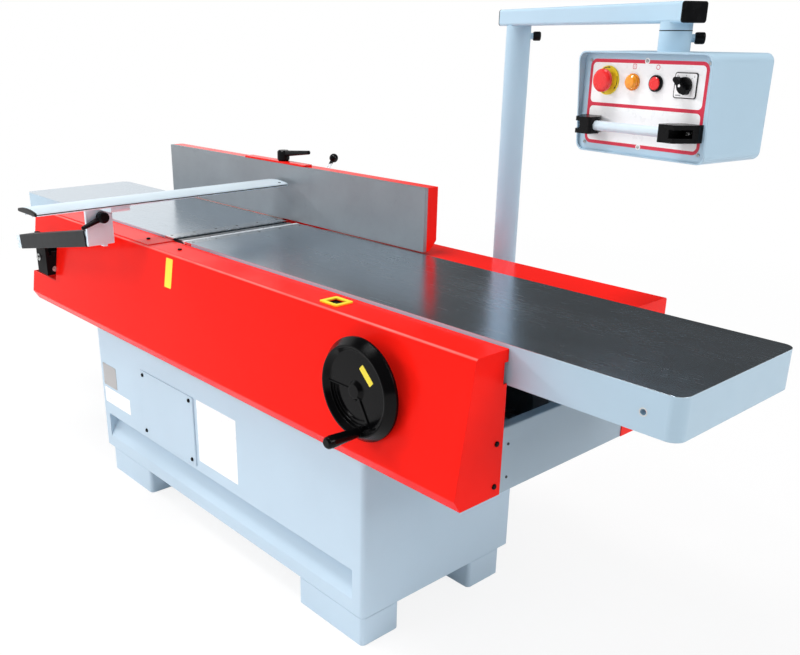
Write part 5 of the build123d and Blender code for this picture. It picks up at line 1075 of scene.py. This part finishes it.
def floor_material():
    """Plain pale floor that looks white, keeps the shadow and fades into the backdrop."""
    mat, tree, shader = new_material("studio_floor")
    mat.cycles.emission_sampling = "NONE"
    shader.inputs["Base Color"].default_value = (*FLOOR_PALE, 1)
    shader.inputs["Roughness"].default_value = 0.9
    shader.inputs["Specular IOR Level"].default_value = 0.0
    out = next(n for n in tree.nodes if n.type == "OUTPUT_MATERIAL")
    glow = tree.nodes.new("ShaderNodeEmission")
    glow.inputs["Strength"].default_value = 1.0
    path = tree.nodes.new("ShaderNodeLightPath")
    seen = maths(tree, "MAXIMUM", path.outputs["Is Camera Ray"], path.outputs["Is Glossy Ray"])
    seen = maths(tree, "MAXIMUM", seen, path.outputs["Is Transmission Ray"])
    away = tree.nodes.new("ShaderNodeVectorMath")
    away.operation = "LENGTH"
    tree.links.new(coords(tree), away.inputs[0])
    share = span(tree, away.outputs["Value"], *FLOOR_WHITE, *FLOOR_FADE)
    mix = tree.nodes.new("ShaderNodeMixShader")
    tree.links.new(maths(tree, "MULTIPLY", seen, share), mix.inputs["Fac"])
    tree.links.new(shader.outputs["BSDF"], mix.inputs[1])
    tree.links.new(glow.outputs["Emission"], mix.inputs[2])
    tree.links.new(mix.outputs["Shader"], out.inputs["Surface"])
    return mat


def add_floor():
    """A wide pale floor."""
    bm = bmesh.new()
    for x, y in ((-1, -1), (1, -1), (1, 1), (-1, 1)):
        bm.verts.new((x * FLOOR_HALF, y * FLOOR_HALF, 0))
    bm.faces.new(list(bm.verts))
    obj = mesh_object("floor", bm, floor_material())


# Reflections show a white wall low on the outfeed side, and a dim room elsewhere
BRIGHT_SIDE = (-0.95, -0.17, -0.35)
MIRROR_STOPS = ((0.32, 0.06), (0.46, 0.10), (0.54, 0.58), (0.61, 1.0))
SKY_STRENGTH = 0.39


def background(tree, colour, strength):
    """A world shader of one colour."""
    node = tree.nodes.new("ShaderNodeBackground")
    node.inputs["Color"].default_value = (*colour, 1)
    node.inputs["Strength"].default_value = strength
    return node


def mirrored_room(tree):
    """The studio that shows in reflections: a ramp of greys towards the bright side."""
    side = tree.nodes.new("ShaderNodeVectorMath")
    side.operation = "DOT_PRODUCT"
    tree.links.new(tree.nodes.new("ShaderNodeTexCoord").outputs["Generated"], side.inputs[0])
    side.inputs[1].default_value = BRIGHT_SIDE
    ramp = tree.nodes.new("ShaderNodeValToRGB")
    tree.links.new(side.outputs["Value"], ramp.inputs["Fac"])
    stops = ramp.color_ramp.elements
    for stop, (place, level) in zip((stops[0], stops[1]), (MIRROR_STOPS[0], MIRROR_STOPS[-1])):
        stop.position = place
        stop.color = (level, level, level, 1)
    for place, level in MIRROR_STOPS[1:-1]:
        stops.new(place).color = (level, level, level, 1)
    node = tree.nodes.new("ShaderNodeBackground")
    tree.links.new(ramp.outputs["Color"], node.inputs["Color"])
    return node


def either(tree, factor, first, second):
    """One of two shaders, chosen by a factor."""
    node = tree.nodes.new("ShaderNodeMixShader")
    tree.links.new(factor, node.inputs["Fac"])
    tree.links.new(first.outputs[0], node.inputs[1])
    tree.links.new(second.outputs[0], node.inputs[2])
    return node


def add_world():
    """White backdrop, even soft light, and the studio that shows in reflections."""
    world = bpy.data.worlds.new("studio")
    bpy.context.scene.world = world
    world.use_nodes = True
    tree = world.node_tree
    tree.nodes.clear()
    out = tree.nodes.new("ShaderNodeOutputWorld")
    path = tree.nodes.new("ShaderNodeLightPath")
    light = background(tree, SKY_WHITE, SKY_STRENGTH)
    white = background(tree, (1, 1, 1), 1.0)
    lit = either(tree, path.outputs["Is Glossy Ray"], light, mirrored_room(tree))
    seen = maths(tree, "MAXIMUM", path.outputs["Is Camera Ray"], path.outputs["Is Transmission Ray"])
    tree.links.new(either(tree, seen, lit, white).outputs[0], out.inputs["Surface"])


# Name, place, size and power in watts of each lamp
LAMPS = (
    ("key", (-6.4, -3.4, 4.3), (3.2, 0.7), 230),
    ("front", (-2.4, -7.6, 3.9), (4.0, 3.0), 150),
    ("fill", (7.6, 1.9, 4.6), (2.5, 2.5), 150),
    ("end", (5.0, -0.3, 6.2), (2.0, 2.0), 95),
    ("top", (-0.6, -1.8, 7.4), (2.4, 1.8), 280),
)
LAMP_AIM = (0.0, 0.0, 0.7)
# From behind, the low lamps would show in the ground tables as white patches
LOW_LAMPS = ("key", "front")


def add_lights():
    """Soft studio light: a wide key at the outfeed end, and softer ones at the other sides and above."""
    for name, at, size, power in LAMPS:
        data = bpy.data.lights.new(name, "AREA")
        data.shape = "RECTANGLE"
        data.size, data.size_y = size
        data.energy = power
        obj = bpy.data.objects.new(name, data)
        bpy.context.scene.collection.objects.link(obj)
        obj.location = at
        obj.visible_glossy = name not in LOW_LAMPS
        obj.rotation_euler = (Vector(LAMP_AIM) - Vector(at)).to_track_quat("-Z", "Y").to_euler()


def add_camera():
    """The photograph's camera."""
    data = bpy.data.cameras.new("camera")
    data.sensor_fit = "HORIZONTAL"
    data.sensor_width = CAMERA_SENSOR
    data.lens = CAMERA_LENS
    data.shift_x, data.shift_y = CAMERA_SHIFT
    data.clip_end = CAMERA_FAR
    obj = bpy.data.objects.new("camera", data)
    bpy.context.scene.collection.objects.link(obj)
    az, el, roll = (math.radians(a) for a in (CAMERA_AZIMUTH, CAMERA_ELEVATION, CAMERA_ROLL))
    back = Vector((math.sin(az) * math.cos(el), -math.cos(az) * math.cos(el), math.sin(el)))
    right = Vector((math.cos(az), math.sin(az), 0))
    up = back.cross(right)
    across = right * math.cos(roll) + up * math.sin(roll)
    rise = up * math.cos(roll) - right * math.sin(roll)
    obj.matrix_world = axes(across, rise, back, spot(*CAMERA_AT))
    bpy.context.scene.camera = obj


dress_nodes()
lip_screws()
hanger_rim()
end_plates()
yellow_strips()
depth_ruler()
cabinet_plates()
bracket_bolts()
bridge_edge()
panel_foil()
panel_fasteners()
estop_marks()
rotary_face()
stub_seam()
grab_screws()
add_floor()
add_world()
add_lights()
add_camera()
bpy.context.scene.view_settings.view_transform = "Standard"
